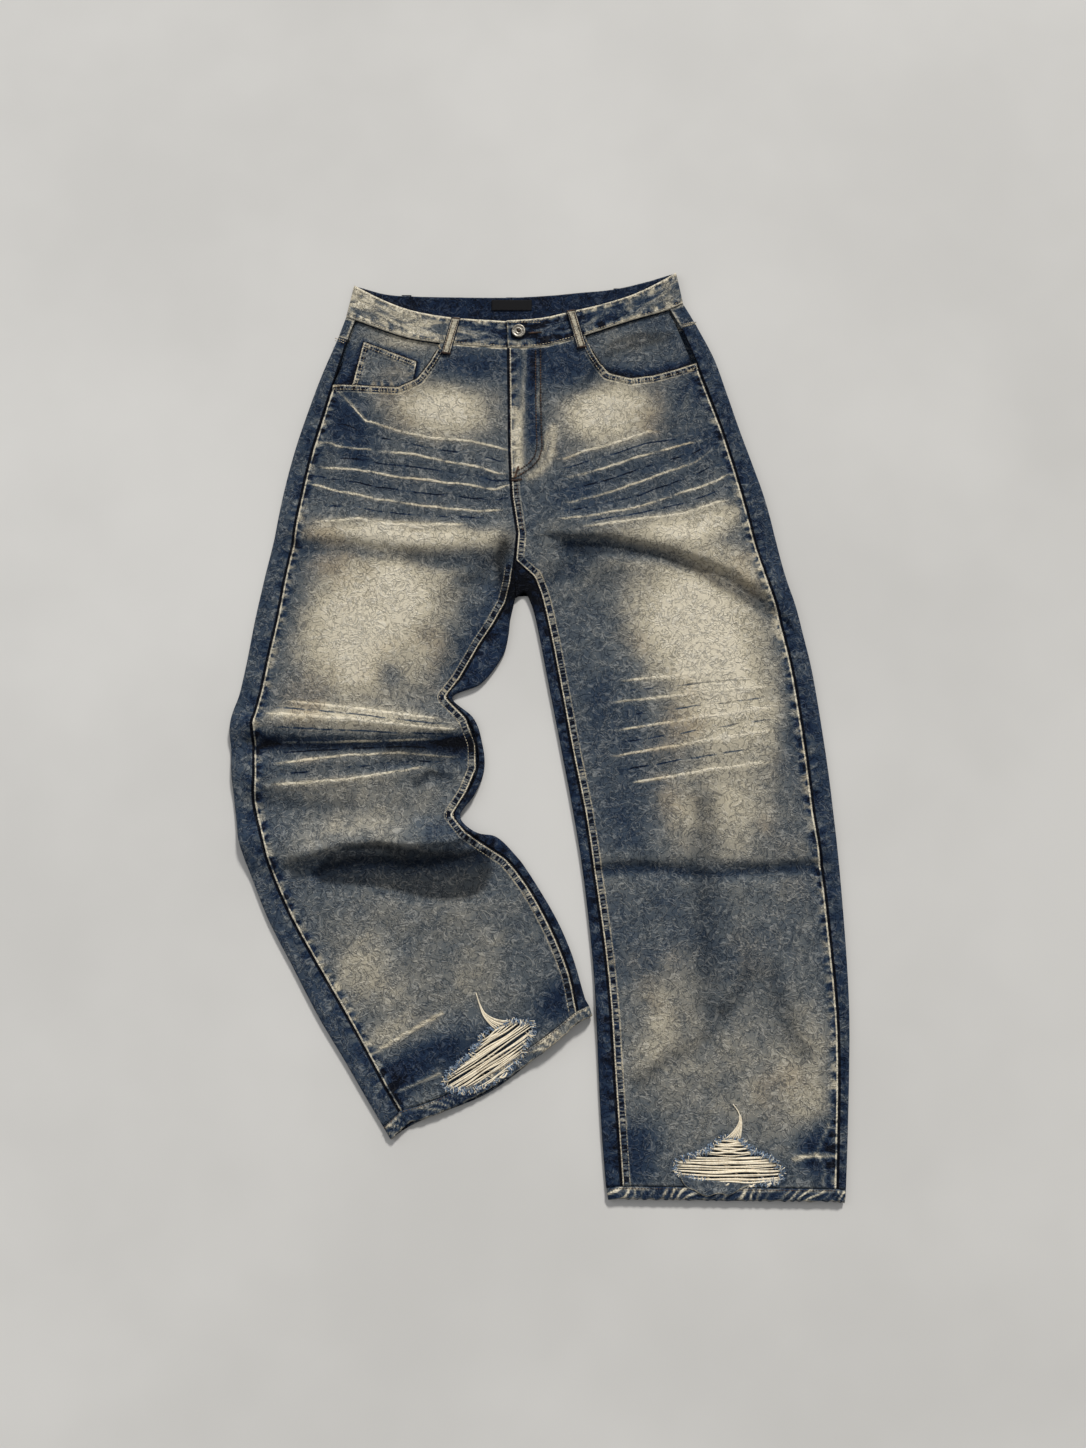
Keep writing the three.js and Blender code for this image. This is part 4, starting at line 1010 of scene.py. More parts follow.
front_edges = {}
for side, node_name in (("right", "front_right"), ("left", "front_left")):
    corners, triangles = merged(node_name)
    corners = corners / MM
    a, b, c = (corners[triangles[:, k]] for k in range(3))
    normals = np.cross(b - a, c - a)
    normals /= np.linalg.norm(normals, axis=1)[:, None]
    loop = corners[outline_of(triangles[normals[:, 2] > 0.35])][:, :2]
    sign = 1 if side == "right" else -1
    outseam, inseam = seam_lines[side]["outseam"][:, :2], seam_lines[side]["inseam"][:, :2]
    to_outseam = to_line(loop[:, 0], loop[:, 1], outseam[::3])[0]
    on_outseam = np.where(to_outseam < 1.5, loop[:, 1], -1e9)
    corner_at = [
        int(np.argmax(on_outseam)),
        int(np.argmax(sign * loop[:, 0] + loop[:, 1])),
        int(np.argmin(np.linalg.norm(loop - inseam[-1], axis=1))),
        int(np.argmin(np.linalg.norm(loop - outseam[-1], axis=1))),
    ]

    def stretch_of(start, end, other):
        """The loop's points from one corner to the next, on the way round that misses a third."""
        n = len(loop)
        forward = [(start + k) % n for k in range((end - start) % n + 1)]
        if other in forward:
            forward = [(start - k) % n for k in range((start - end) % n + 1)]
        return loop[forward]

    top = stretch_of(corner_at[0], corner_at[1], corner_at[2])
    inner_edge = stretch_of(corner_at[1], corner_at[2], corner_at[3])
    hem = stretch_of(corner_at[3], corner_at[2], corner_at[1])
    outer_edge = stretch_of(corner_at[0], corner_at[3], corner_at[1])
    front_edges[side] = {"top": top, "inner": inner_edge}

    # Rows: from each place on the outseam to its partner on the inner edge
    outer_run, inner_run = measure(outer_edge)[-1], measure(inner_edge)[-1]
    first_leg = seam_lines[side]["first_leg"]
    back_rows = np.arange(first_leg, len(outseam), 12)
    out_at = to_line(outseam[back_rows, 0], outseam[back_rows, 1], outer_edge)[1]
    in_at = to_line(inseam[back_rows - first_leg, 0], inseam[back_rows - first_leg, 1], inner_edge)[1]
    out_at = np.concatenate([[0], out_at, [outer_run]])
    in_at = np.maximum.accumulate(np.concatenate([[0], in_at, [inner_run]]))
    order = np.concatenate([[True], np.diff(out_at) > 1.0])
    out_at, in_at = out_at[order], in_at[order]
    rows = int(round(outer_run / 3.1)) + 1
    columns = 88
    down = np.linspace(0, outer_run, rows)
    left_edge = read(outer_edge, down)
    right_edge = read(inner_edge, np.interp(down, out_at, in_at))
    share = np.linspace(0, 1, columns)
    plan = left_edge[:, None] * (1 - share)[None, :, None]
    plan = plan + right_edge[:, None] * share[None, :, None]
    top_bow = read(top, share * measure(top)[-1]) - plan[0]
    hem_bow = read(hem, share * measure(hem)[-1]) - plan[-1]
    top_weight = np.clip(1 - down / 150, 0, 1) ** 2
    hem_weight = np.clip(1 - (outer_run - down) / 60, 0, 1) ** 2
    plan = plan + top_weight[:, None, None] * top_bow[None] + hem_weight[:, None, None] * hem_bow[None]

    # Heights: the CAD wall's face, closed over the rip
    tree = BVHTree.FromPolygons([Vector(p) for p in corners], triangles.tolist())
    plate_corners, plate_triangles = merged(f"rip_threads_{side}")
    plate = BVHTree.FromPolygons([Vector(p) for p in plate_corners / MM], plate_triangles.tolist())
    inwards = plan.mean(axis=1, keepdims=True) - plan
    nudge = 0.4 / np.maximum(np.linalg.norm(inwards, axis=2), 1)
    aim = plan + inwards * np.minimum(nudge, 1)[..., None]
    height = np.full((rows, columns), np.nan)
    for i in range(rows):
        for j in range(columns):
            high = Vector((aim[i, j, 0], aim[i, j, 1], 60))
            hit = tree.ray_cast(high, Vector((0, 0, -1)))[0]
            if hit is None or hit.z < 3.5:
                hit = plate.ray_cast(high, Vector((0, 0, -1)))[0]
                hit = hit or tree.find_nearest(Vector((*aim[i, j], 7)))[0]
            height[i, j] = hit.z
    for _ in range(6):
        padded = np.pad(height, 1, mode="edge")
        soft = padded[:-2, 1:-1] + padded[2:, 1:-1] + padded[1:-1, :-2] + padded[1:-1, 2:]
        soft = (soft + 2 * height) / 6
        height[:, 2:-2] = soft[:, 2:-2]

    x, y = plan[..., 0].reshape(-1), plan[..., 1].reshape(-1)
    out_distance, out_along, _ = to_line(x, y, outer_edge)
    in_distance, in_along, _ = to_line(x, y, inner_edge)
    top_distance, top_along, _ = to_line(x, y, top)
    leg_part = np.clip((in_along - np.interp(out_at[1], out_at, in_at)) / 20, 0, 1)
    lift = raised(x, y, CREASES) * np.clip(np.minimum(out_distance, in_distance) / 30, 0.75, 1)
    lift = lift + whisker_relief(x, y)
    lift = lift + 0.8 * ripple(out_along, 1.0) * fall(out_distance - 7, 6)
    lift = lift + 0.3 * ripple(in_along, 1.0) * fall(in_distance - 5, 5)
    lift = lift + 0.6 * np.clip((10.6 - in_distance) / 0.9, 0, 1) * leg_part
    lift = lift - 0.5 * fall(out_distance, 1.2) - 0.4 * fall(in_distance, 1.0)
    lift = lift + 0.5 * np.clip((8.0 - top_distance) / 1.2, 0, 1)
    lifted = height.reshape(-1) + lift
    # Away from its seams a low place eases to a rest on the back panel
    on_back = 4.6
    rested = np.where(lifted < on_back, on_back - 1 + np.exp(lifted - on_back), lifted)
    laid = np.where(np.minimum(out_distance, in_distance) < 2, lifted, rested)
    points = np.stack([x, y, laid], axis=1)
    faces = grid_faces(rows, columns, 0, side == "left")

    hole = RIPS[side]
    centres = points[faces].mean(axis=1)
    keep = ~within(centres[:, 0], centres[:, 1], hole)
    used = np.zeros(len(points), dtype=int)
    np.add.at(used, faces[keep].reshape(-1), 1)
    dropped = np.zeros(len(points), dtype=int)
    np.add.at(dropped, faces[~keep].reshape(-1), 1)
    rim = (used > 0) & (dropped > 0)
    ring = np.array(hole + hole[:1], dtype=float)
    rim_at = to_line(points[rim, 0], points[rim, 1], ring)[1]
    snapped = read(ring, rim_at)
    points[rim, 0], points[rim, 1] = snapped[:, 0], snapped[:, 1]
    faces = faces[keep]
    hole_distance = to_line(x, y, ring)[0]

    nearer_out = out_distance < in_distance
    seam = np.minimum(out_distance, in_distance)
    along = np.where(nearer_out, out_along, in_along)
    rank, gap, mask = whisker_marks(x, y, WHISKERS)
    # Ridges are a little paler and hollows darker: partly rubbed wear, partly painted light and shade
    wear = wash(x, y) + 0.03 * np.minimum(raised(x, y, CREASES), 4.0)
    wear = wear - 0.10 * fall(out_distance, 16) - 0.04 * fall(in_distance, 14) - 0.16 * fall(hole_distance, 7)
    above_leg = 1 - leg_part
    on_fly = above_leg * (sign < 0)
    ladder = np.where(nearer_out, 0.0, np.maximum(leg_part, on_fly * (y < 284)))
    rope = np.where(nearer_out, 0.8, 0.30 * leg_part + 0.8 * on_fly * (y > 284))
    on_scoop = (top_along < SCOOP_LENGTH) & (top_distance < seam + 4)
    seam = np.where(on_scoop, top_distance, seam)
    along = np.where(on_scoop, top_along, along)
    ladder = np.where(on_scoop, 1.0, ladder)
    rope = np.where(on_scoop, 0.3, rope)
    free_edge = np.where(on_scoop, 99, np.minimum(top_distance, hole_distance + 0.5))
    marks = {
        "wear": wear, "whisker_rank": rank, "whisker_gap": gap, "whisker_mask": mask, "seam_mm": seam,
        "along_mm": along, "rope": rope, "ladder": ladder, "edge_mm": free_edge, "smoke": painted_shade_at(x, y),
    }
    uv = np.stack([np.tile(share * 300, rows), np.repeat(down, columns)], axis=1)
    piece = cloth_mesh(f"front_panel_{side}", points, faces, marks, uv, washed_denim, PANEL_THICKNESS)
    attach(piece, "root")
    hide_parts(node_name)


# ---------------------------------------------------------------------------------------------
# Pocket facings, coin pocket, yokes and seat pockets: flat pieces of the same denim, topstitched on. The
# facings fill the pocket openings, and the yokes and seat pockets lie under the seat. Each is cut from its
# CAD wall's face and thickened; the left facing is creased, and the coin pocket's edges stand proud.
# ---------------------------------------------------------------------------------------------
# The left facing's creases, given as the panels' are
POCKET_CREASES = [
    (-1.2, 7, 5, [(88, 447), (117, 459), (154, 466)]),
    (0.9, 8, 8, [(95, 462), (130, 474), (165, 474)]),
]


def face_of(node_name, rim, low):
    """A CAD wall's outer face in millimetres, cut into small triangles."""
    corners, triangles = merged(node_name)
    sides = corners[triangles]
    lengths = np.linalg.norm(sides - np.roll(sides, -1, axis=1), axis=2)
    face = island(corners, triangles[lengths.min(axis=1) > rim * MM], low)
    work = bmesh.new()
    numbers = {int(n): work.verts.new(corners[n] / MM) for n in np.unique(face)}
    for triangle in face:
        work.faces.new([numbers[int(n)] for n in triangle])
    for limit in (40, 20, 10, 5, 3.4):
        long_edges = [e for e in work.edges if e.calc_length() > limit]
        bmesh.ops.subdivide_edges(work, edges=long_edges, cuts=1)
        bmesh.ops.triangulate(work, faces=work.faces)
    work.verts.index_update()
    points = np.array([v.co[:] for v in work.verts])
    faces = np.array([[v.index for v in f.verts] for f in work.faces])
    work.free()
    return points, faces


def from_edge(points, faces):
    """How far each point lies, in plan, from the face's outline, and how far along that it is."""
    loop = outline_of(faces)
    line = points[loop + loop[:1], :2]
    return to_line(points[:, 0], points[:, 1], line)[:2]


def edge_distance(points, faces):
    return from_edge(points, faces)[0]


def lay_face(name, node_name, wall, marks_of, lift=None,
             material=washed_denim):
    """A flat piece. wall is the longest edge across its CAD wall, whether its outer face is the low one,
    and how thick the cloth is."""
    rim, low, thickness = wall
    points, faces = face_of(node_name, rim, low)
    marks = marks_of(points, faces)
    if lift is not None:
        points[:, 2] = points[:, 2] + lift(points, faces)
    piece = cloth_mesh(name, points, faces, marks, points[:, :2], material, thickness)
    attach(piece, "root")
    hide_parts(node_name)
    return piece


COIN_POCKET = [(-212, 464.5), (-144, 437.5), (-150, 402.5), (-226, 402.5)]


def facing_marks_right(points, faces):
    """Pale above the coin pocket, dark at the outseam and where the coin pocket is sewn on."""
    x, y = points[:, 0], points[:, 1]
    pale = 0.44 + 0.30 * fall(np.hypot((x + 160) / 56, (y - 466) / 16), 1.0) - 0.26 * fall(x + 234, 14)
    around_coin = to_line(x, y, COIN_POCKET + COIN_POCKET[:1])[0]
    return {"wear": pale - 0.14 * fall(y - 405, 10) - 0.34 * fall(around_coin, 4.0)}


def facing_marks_left(points, faces):
    """Pale in the middle, dark along the pocket opening and at the outseam, with painted shade by its left
    border and beside each fold.
    """
    x, y = points[:, 0], points[:, 1]
    pale = 0.36 + 0.18 * fall(np.hypot((x - 108) / 42, (y - 462) / 22), 1.0)
    opening = [(60, 440), (84, 424), (130, 418), (196, 434)]
    pale = pale - 0.30 * fall(to_line(x, y, opening)[0], 7) - 0.1 * fall(x - 195, 14)
    left_border_shade = fall(to_line(x, y, [(56, 446), (78, 426), (110, 410)])[0], 9)
    fold_shade = raised(x, y, [(0.55, 3, 7, line) for _, _, _, line in POCKET_CREASES])
    return {"wear": pale, "smoke": np.clip(0.8 * left_border_shade + 0.5 * fall(x - 196, 12) + fold_shade, 0, 1)}


def facing_lift_left(points, faces):
    return raised(points[:, 0], points[:, 1], POCKET_CREASES)


lay_face("facing_right", "pocket_facing_right", (1.5, False, 1.1), facing_marks_right)
lay_face("facing_left", "pocket_facing_left", (1.5, False, 1.1), facing_marks_left,
         facing_lift_left)


def coin_marks(points, faces):
    """Its own rubbed middle, with pale ladder marks along the two sides that are stitched twice."""
    x, y = points[:, 0], points[:, 1]
    edge, along = from_edge(points, faces)
    pale = 0.46 + 0.12 * fall(np.hypot((x + 165) / 24, (y - 425) / 14), 1.0)
    from_top = to_line(x, y, COIN_POCKET[:2])[0]
    from_side = to_line(x, y, [COIN_POCKET[3], COIN_POCKET[0]])[0]
    ladder = fall(np.minimum(from_top, from_side) - 5, 5)
    return {"wear": pale, "seam_mm": edge, "along_mm": along, "rope": np.full(len(x), 0.4), "ladder": ladder}


def coin_lift(points, faces):
    """A turned edge stands a little proud of the middle and is drawn down by its stitches."""
    edge = edge_distance(points, faces)
    return 0.35 * np.clip((7.5 - edge) / 1.0, 0, 1) - 0.4 * fall(edge, 1.0)


def yoke_marks(points, faces):
    return {"wear": 0.30 + 0.5 * fall(edge_distance(points, faces) - 1.5, 1.5)}


def seat_pocket_marks(points, faces):
    return {"wear": np.full(len(points), 0.42), "edge_mm": edge_distance(points, faces)}


lay_face("small_pocket", "coin_pocket", (1.3, False, 1.0), coin_marks,
         coin_lift)
UNDERNEATH = (1.5, True, PANEL_THICKNESS)
for side in ("right", "left"):
    lay_face(f"back_yoke_{side}", f"yoke_{side}", UNDERNEATH, yoke_marks)
    lay_face(f"seat_pocket_{side}", f"back_pocket_{side}", UNDERNEATH, seat_pocket_marks)

# ---------------------------------------------------------------------------------------------
# Waistband: one folded strip of denim with a stitch row along both edges, worn pale at the edges. The
# left end laps over the right end; the back half shows its dark inside above the front half.
# ---------------------------------------------------------------------------------------------
FOLDED_THICKNESS = 1.9
grid = sections("waistband", 2.2 * MM, Vector((1, 0, 0)), True) / MM
if grid[0, 0, 1] < grid[0, -1, 1]:
    grid = grid[:, ::-1]
steps = np.linalg.norm(np.diff(grid, axis=0), axis=2).mean(axis=1)
row_knots = np.concatenate([[0], np.cumsum(steps)])
row_places = spread(row_knots, np.maximum(1, np.round(steps / 2.8)).astype(int))
down = through(row_knots, grid.reshape(len(grid), -1), row_places).reshape(-1, grid.shape[1], 3)
widths = np.median(np.linalg.norm(np.diff(grid, axis=1), axis=2), axis=0)
across_knots = np.concatenate([[0], np.cumsum(widths)])
places = spread(across_knots, [8, 8])
band = through(across_knots, down.transpose(1, 0, 2).reshape(grid.shape[1], -1), places)
band = band.reshape(len(places), -1, 3).transpose(1, 0, 2)
band_rows, band_columns = band.shape[:2]
points = band.reshape(-1, 3)
x, y = points[:, 0], points[:, 1]
run = np.repeat(row_places, band_columns)
fraction = np.tile(places / places[-1], band_rows)
edge = np.minimum(fraction, 1 - fraction) * places[-1]
on_front = np.clip((points[:, 2] - 4.2) / 1.5, 0, 1)
lift = 0.35 * ripple(run, 4.0) * fall(edge - 6, 7) - 0.5 * fall(edge, 0.9)
lift = lift + 0.5 * np.sin(run / 13.0) * fall(edge - 18, 9)
points = points + np.stack([0 * x, 0 * x, on_front * lift], axis=1)
dark_middle = fall(np.hypot((x - 4) / 84, (y - 470) / 70), 1.0)
wear = 0.54 - 0.42 * dark_middle - 0.08 * np.clip((x - 60) / 60, 0, 1) + 0.25 * fall(x + 170, 80)
wear = np.where(on_front > 0.3, wear, 0.14)
end = np.minimum(run, run.max() - run)
wear = wear + on_front * (0.45 * fall(end - 1.4, 2.4) + 0.22 * fall(edge - 2.0, 1.6))
free_edge = np.where(on_front > 0.3, np.minimum(edge, end), edge + 1.0)
marks = {"wear": wear, "edge_mm": free_edge, "seam_mm": edge + 1.8, "along_mm": run, "rope": on_front * 0.8}
faces = outwards(points, grid_faces(band_rows, band_columns), 6)
uv = np.stack([run, fraction * places[-1]], axis=1)
streaked_denim = denim("streaked_denim", 0.0, 0.24)
waistband = cloth_mesh("denim_waistband", points, faces, marks, uv, streaked_denim, FOLDED_THICKNESS)
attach(waistband, "root")
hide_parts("waistband")
band_edges = (band[:, 0], band[:, -1])

# ---------------------------------------------------------------------------------------------
# Hems: each leg's end, turned twice and stitched round, so that it puckers into slanted ropes that wear
# pale on top. Each is a ring laid through its CAD wall's two faces.
# ---------------------------------------------------------------------------------------------
HEM_THICKNESS = 2.0
HEM_STEPS = 8
ROPE_LENGTH = 12.0
ROPE_STRENGTH = {"right": 0.6, "left": 1.0}
hem_edges = {}
for side in ("right", "left"):
    below = sections(f"hem_{side}", 2.4 * MM, Vector((1, 0, 0)), True, ring=True) / MM
    above = sections(f"hem_{side}", 2.4 * MM, Vector((1, 0, 0)), False, ring=True) / MM
    outer_x = seam_lines[side]["outseam"][-1, 0]
    if abs(below[0, 0, 0] - outer_x) > abs(below[0, -1, 0] - outer_x):
        below = below[:, ::-1]
    if np.linalg.norm(above[0, 0] - below[0, -1]) > np.linalg.norm(above[0, -1] - below[0, -1]):
        above = above[:, ::-1]
    if below[0, :, 1].mean() < below[-1, :, 1].mean():
        below = below[::-1]
    if above[0, :, 1].mean() < above[-1, :, 1].mean():
        above = above[::-1]
    ring = np.concatenate([below, above, below[:, :1]], axis=1)
    steps = np.linalg.norm(np.diff(ring, axis=1), axis=2).mean(axis=0)
    knots = np.concatenate([[0], np.cumsum(np.maximum(steps, 0.2))])
    on_top = ring[:, :, 2].mean(axis=0) > 3.5
    counts = [max(1, round(s / (2.4 if on_top[k] or on_top[k + 1] else 7))) for k, s in enumerate(steps)]
    places = spread(knots, counts)
    rim = through(knots, ring.transpose(1, 0, 2).reshape(ring.shape[1], -1), places)
    rim = rim.reshape(len(places), 2, 3)
    rim[-1] = rim[0]
    share = np.linspace(0, 1, HEM_STEPS + 1)
    fabric = rim[:, :1] * (1 - share)[None, :, None] + rim[:, 1:] * share[None, :, None]
    tall = float(np.linalg.norm(rim[:, 0] - rim[:, 1], axis=1).mean())
    points = fabric.reshape(-1, 3)
    x, y, z = points.T
    run = np.repeat(places, HEM_STEPS + 1)
    v = np.tile(share * tall, len(places))
    top = np.clip((z - 3.0) / 2.0, 0, 1)
    twist = 2 * np.pi * (run + (0.9 + 0.5 * np.sin(run / 19.0)) * v) / ROPE_LENGTH
    rope = np.sin(twist + 2.4 * np.sin(run / 17.0) + 1.9 * np.sin(run / 7.1))
    middle = np.sin(np.pi * np.clip(v / tall, 0, 1)) ** 0.6
    strength = ROPE_STRENGTH[side]
    bulge = 1.0 * middle + strength * 0.9 * rope * middle - 0.9 * fall(v, 0.9) - 0.6 * fall(tall - v, 1.2)
    points[:, 2] = np.maximum(z + top * bulge, 0.0)
    points[:, 1] = y + top * 0.8 * rope * np.clip(v / tall, 0, 1) * strength
    crest = np.clip(rope - 0.2, 0, 1) * middle * (0.6 + 0.4 * np.sin(run / 11.0))
    wear = 0.06 + 0.12 * top + strength * 1.45 * crest * top
    seamed = fall(v - 2.6, 1.2) * np.clip(np.sin(run / 8.0) + 0.8 * np.sin(run / 21.0) + 0.9, 0, 1)
    wear = wear + 0.60 * seamed * top
    if side == "right":
        # The end by the inseam is worn paler
        curl = fall(np.hypot((x - 22) / 46, (y + 372) / 40), 1.0)
        wear = wear + 0.40 * curl * top
    marks = {"wear": wear, "edge_mm": tall - v, "seam_mm": 30 + 0 * v, "along_mm": run}
    faces = grid_faces(len(places), HEM_STEPS + 1, 0, True)
    points, faces, columns = merge_same(points, faces, {**marks, "u": run, "v": v})
    uv = np.stack([columns.pop("u"), columns.pop("v")], axis=1)
    faces = outwards(points, faces, 4)
    piece = cloth_mesh(f"turned_hem_{side}", points, faces, columns, uv, washed_denim, HEM_THICKNESS)
    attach(piece, "root")
    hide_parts(f"hem_{side}")
    hem_edges[side] = rim[:, 0]

# ---------------------------------------------------------------------------------------------
# Belt loops: strips of folded denim, stitched along both sides and tacked at both ends. Two stand bowed
# on the front of the band, and three lie flat under its back.
# ---------------------------------------------------------------------------------------------


def loop_marks(points, faces):
    return {"wear": np.full(len(points), 0.86), "seam_mm": edge_distance(points, faces)}


for name in ("front_right", "front_left", "back_right", "back_centre", "back_left"):
    front = name.startswith("front")
    low_y, high_y = (corner[1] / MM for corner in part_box(f"belt_loop_{name}"))

    def bow(points, faces):
        """Raised in the middle of its length and drawn down along its sides."""
        along = fall(points[:, 1] - (low_y + high_y) / 2, (high_y - low_y) / 2 * 0.75)
        return along - 0.8 * fall(edge_distance(points, faces), 1.3)

    lay_face(f"loop_{name}", f"belt_loop_{name}", (1.4, not front, 1.3), loop_marks,
             bow if front else None)

# ---------------------------------------------------------------------------------------------
# Label: a plain black woven strip with nothing on it, sewn inside the back of the band. It ripples a
# little along its length.
# ---------------------------------------------------------------------------------------------
black_cloth, shader, shade, spot = new_material("black_woven", 0.8)
shader.inputs["Specular IOR Level"].default_value = 0.15
weave = shade.noise(shade.stretch(spot, (900.0, 2600.0, 900.0)), 1.0, 2.0)
coloured(shader, shade.colour_mix(weave, (*srgb(6, 6, 8), 1), (*srgb(22, 22, 25), 1)))


def label_ripple(points, faces):
    return 0.25 * np.sin(points[:, 0] / 9.0)


label = lay_face("neck_label", "waist_label", (0.7, False, 0.5), lambda points, faces: {},
                 label_ripple, material=black_cloth)
label.data.materials.clear()
label.data.materials.append(black_cloth)

# ---------------------------------------------------------------------------------------------
# Rips: undyed weft threads still cross each one, gathered at the top into a tail. The edges are frayed into
# short blue and pale ends, and the left rip's lower lip is torn loose.
# ---------------------------------------------------------------------------------------------
undyed, shader, shade, spot = new_material("undyed_thread", 0.85)
fibre = shade.noise(spot, 700.0, 3.0, 0.7)
stain = shade.noise(spot, 90.0, 2.0)
paint = shade.colour_mix(fibre.ease(0.3, 0.7), (*srgb(216, 200, 170), 1), (*srgb(250, 240, 218), 1))
coloured(shader, shade.colour_mix(stain.ease(0.55, 0.75, 0.0, 0.35), paint, (*srgb(150, 132, 108), 1)))

blue_thread, shader, shade, spot = new_material("blue_thread", 0.85)
fibre = shade.noise(spot, 500.0, 3.0, 0.7).ease(0.35, 0.65)
coloured(shader, shade.colour_mix(fibre, (*srgb(52, 74, 104), 1), (*srgb(150, 166, 182), 1)))


class Yarn:
    """Gathers many thin tubes into one mesh."""

    def __init__(self, sides):
        self.sides = sides
        self.points = []
        self.faces = []

    def lay(self, line, radii):
        """A tube along a line of places in millimetres, closed at both ends."""
        line = np.asarray(line, dtype=float)
        ways = np.gradient(line, axis=0)
        ways /= np.maximum(np.linalg.norm(ways, axis=1), 1e-9)[:, None]
        across = np.cross(ways, (0.0, 0.0, 1.0))
        across /= np.maximum(np.linalg.norm(across, axis=1), 1e-9)[:, None]
        up = np.cross(across, ways)
        angles = np.arange(self.sides) * 2 * np.pi / self.sides
        start = len(self.points)
        for place, a, u, radius in zip(line, across, up, radii):
            for angle in angles:
                self.points.append(place + radius * (math.cos(angle) * a + math.sin(angle) * u))
        n = self.sides
        for k in range(len(line) - 1):
            for m in range(n):
                a, b = start + k * n + m, start + k * n + (m + 1) % n
                self.faces.append((a, a + n, b + n, b))
        self.faces.append(tuple(start + m for m in range(n)))
        last = start + (len(line) - 1) * n
        self.faces.append(tuple(last + m for m in reversed(range(n))))

    def piece(self, name, material):
        """The tubes as a piece that rides on the jeans."""
        mesh = bpy.data.meshes.new(name)
        mesh.from_pydata((np.array(self.points) * MM).tolist(), [], self.faces)
        mesh.polygons.foreach_set("use_smooth", np.ones(len(mesh.polygons), dtype=bool))
        mesh.materials.append(material)
        work = bmesh.new()
        work.from_mesh(mesh)
        bmesh.ops.recalc_face_normals(work, faces=work.faces)
        work.to_mesh(mesh)
        work.free()
        made = bpy.data.objects.new(name, mesh)
        bpy.context.scene.collection.objects.link(made)
        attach(made, "root")
        return made


def surface_of(names):
    """All the given pieces' faces in one tree, in millimetres."""
    points, faces = [], []
    for name in names:
        mesh = bpy.data.objects[name].data
        start = len(points)
        points.extend([v.co / MM for v in mesh.vertices])
        faces.extend([[start + n for n in p.vertices] for p in mesh.polygons])
    return BVHTree.FromPolygons(points, faces)


def height_at(tree, x, y, other=6.0):
    """How high the cloth lies at a place in plan; other is for where there is none."""
    hit = tree.ray_cast(Vector((x, y, 80)), Vector((0, 0, -1)))[0]
    return hit.z if hit else other


chance = np.random.default_rng(7)
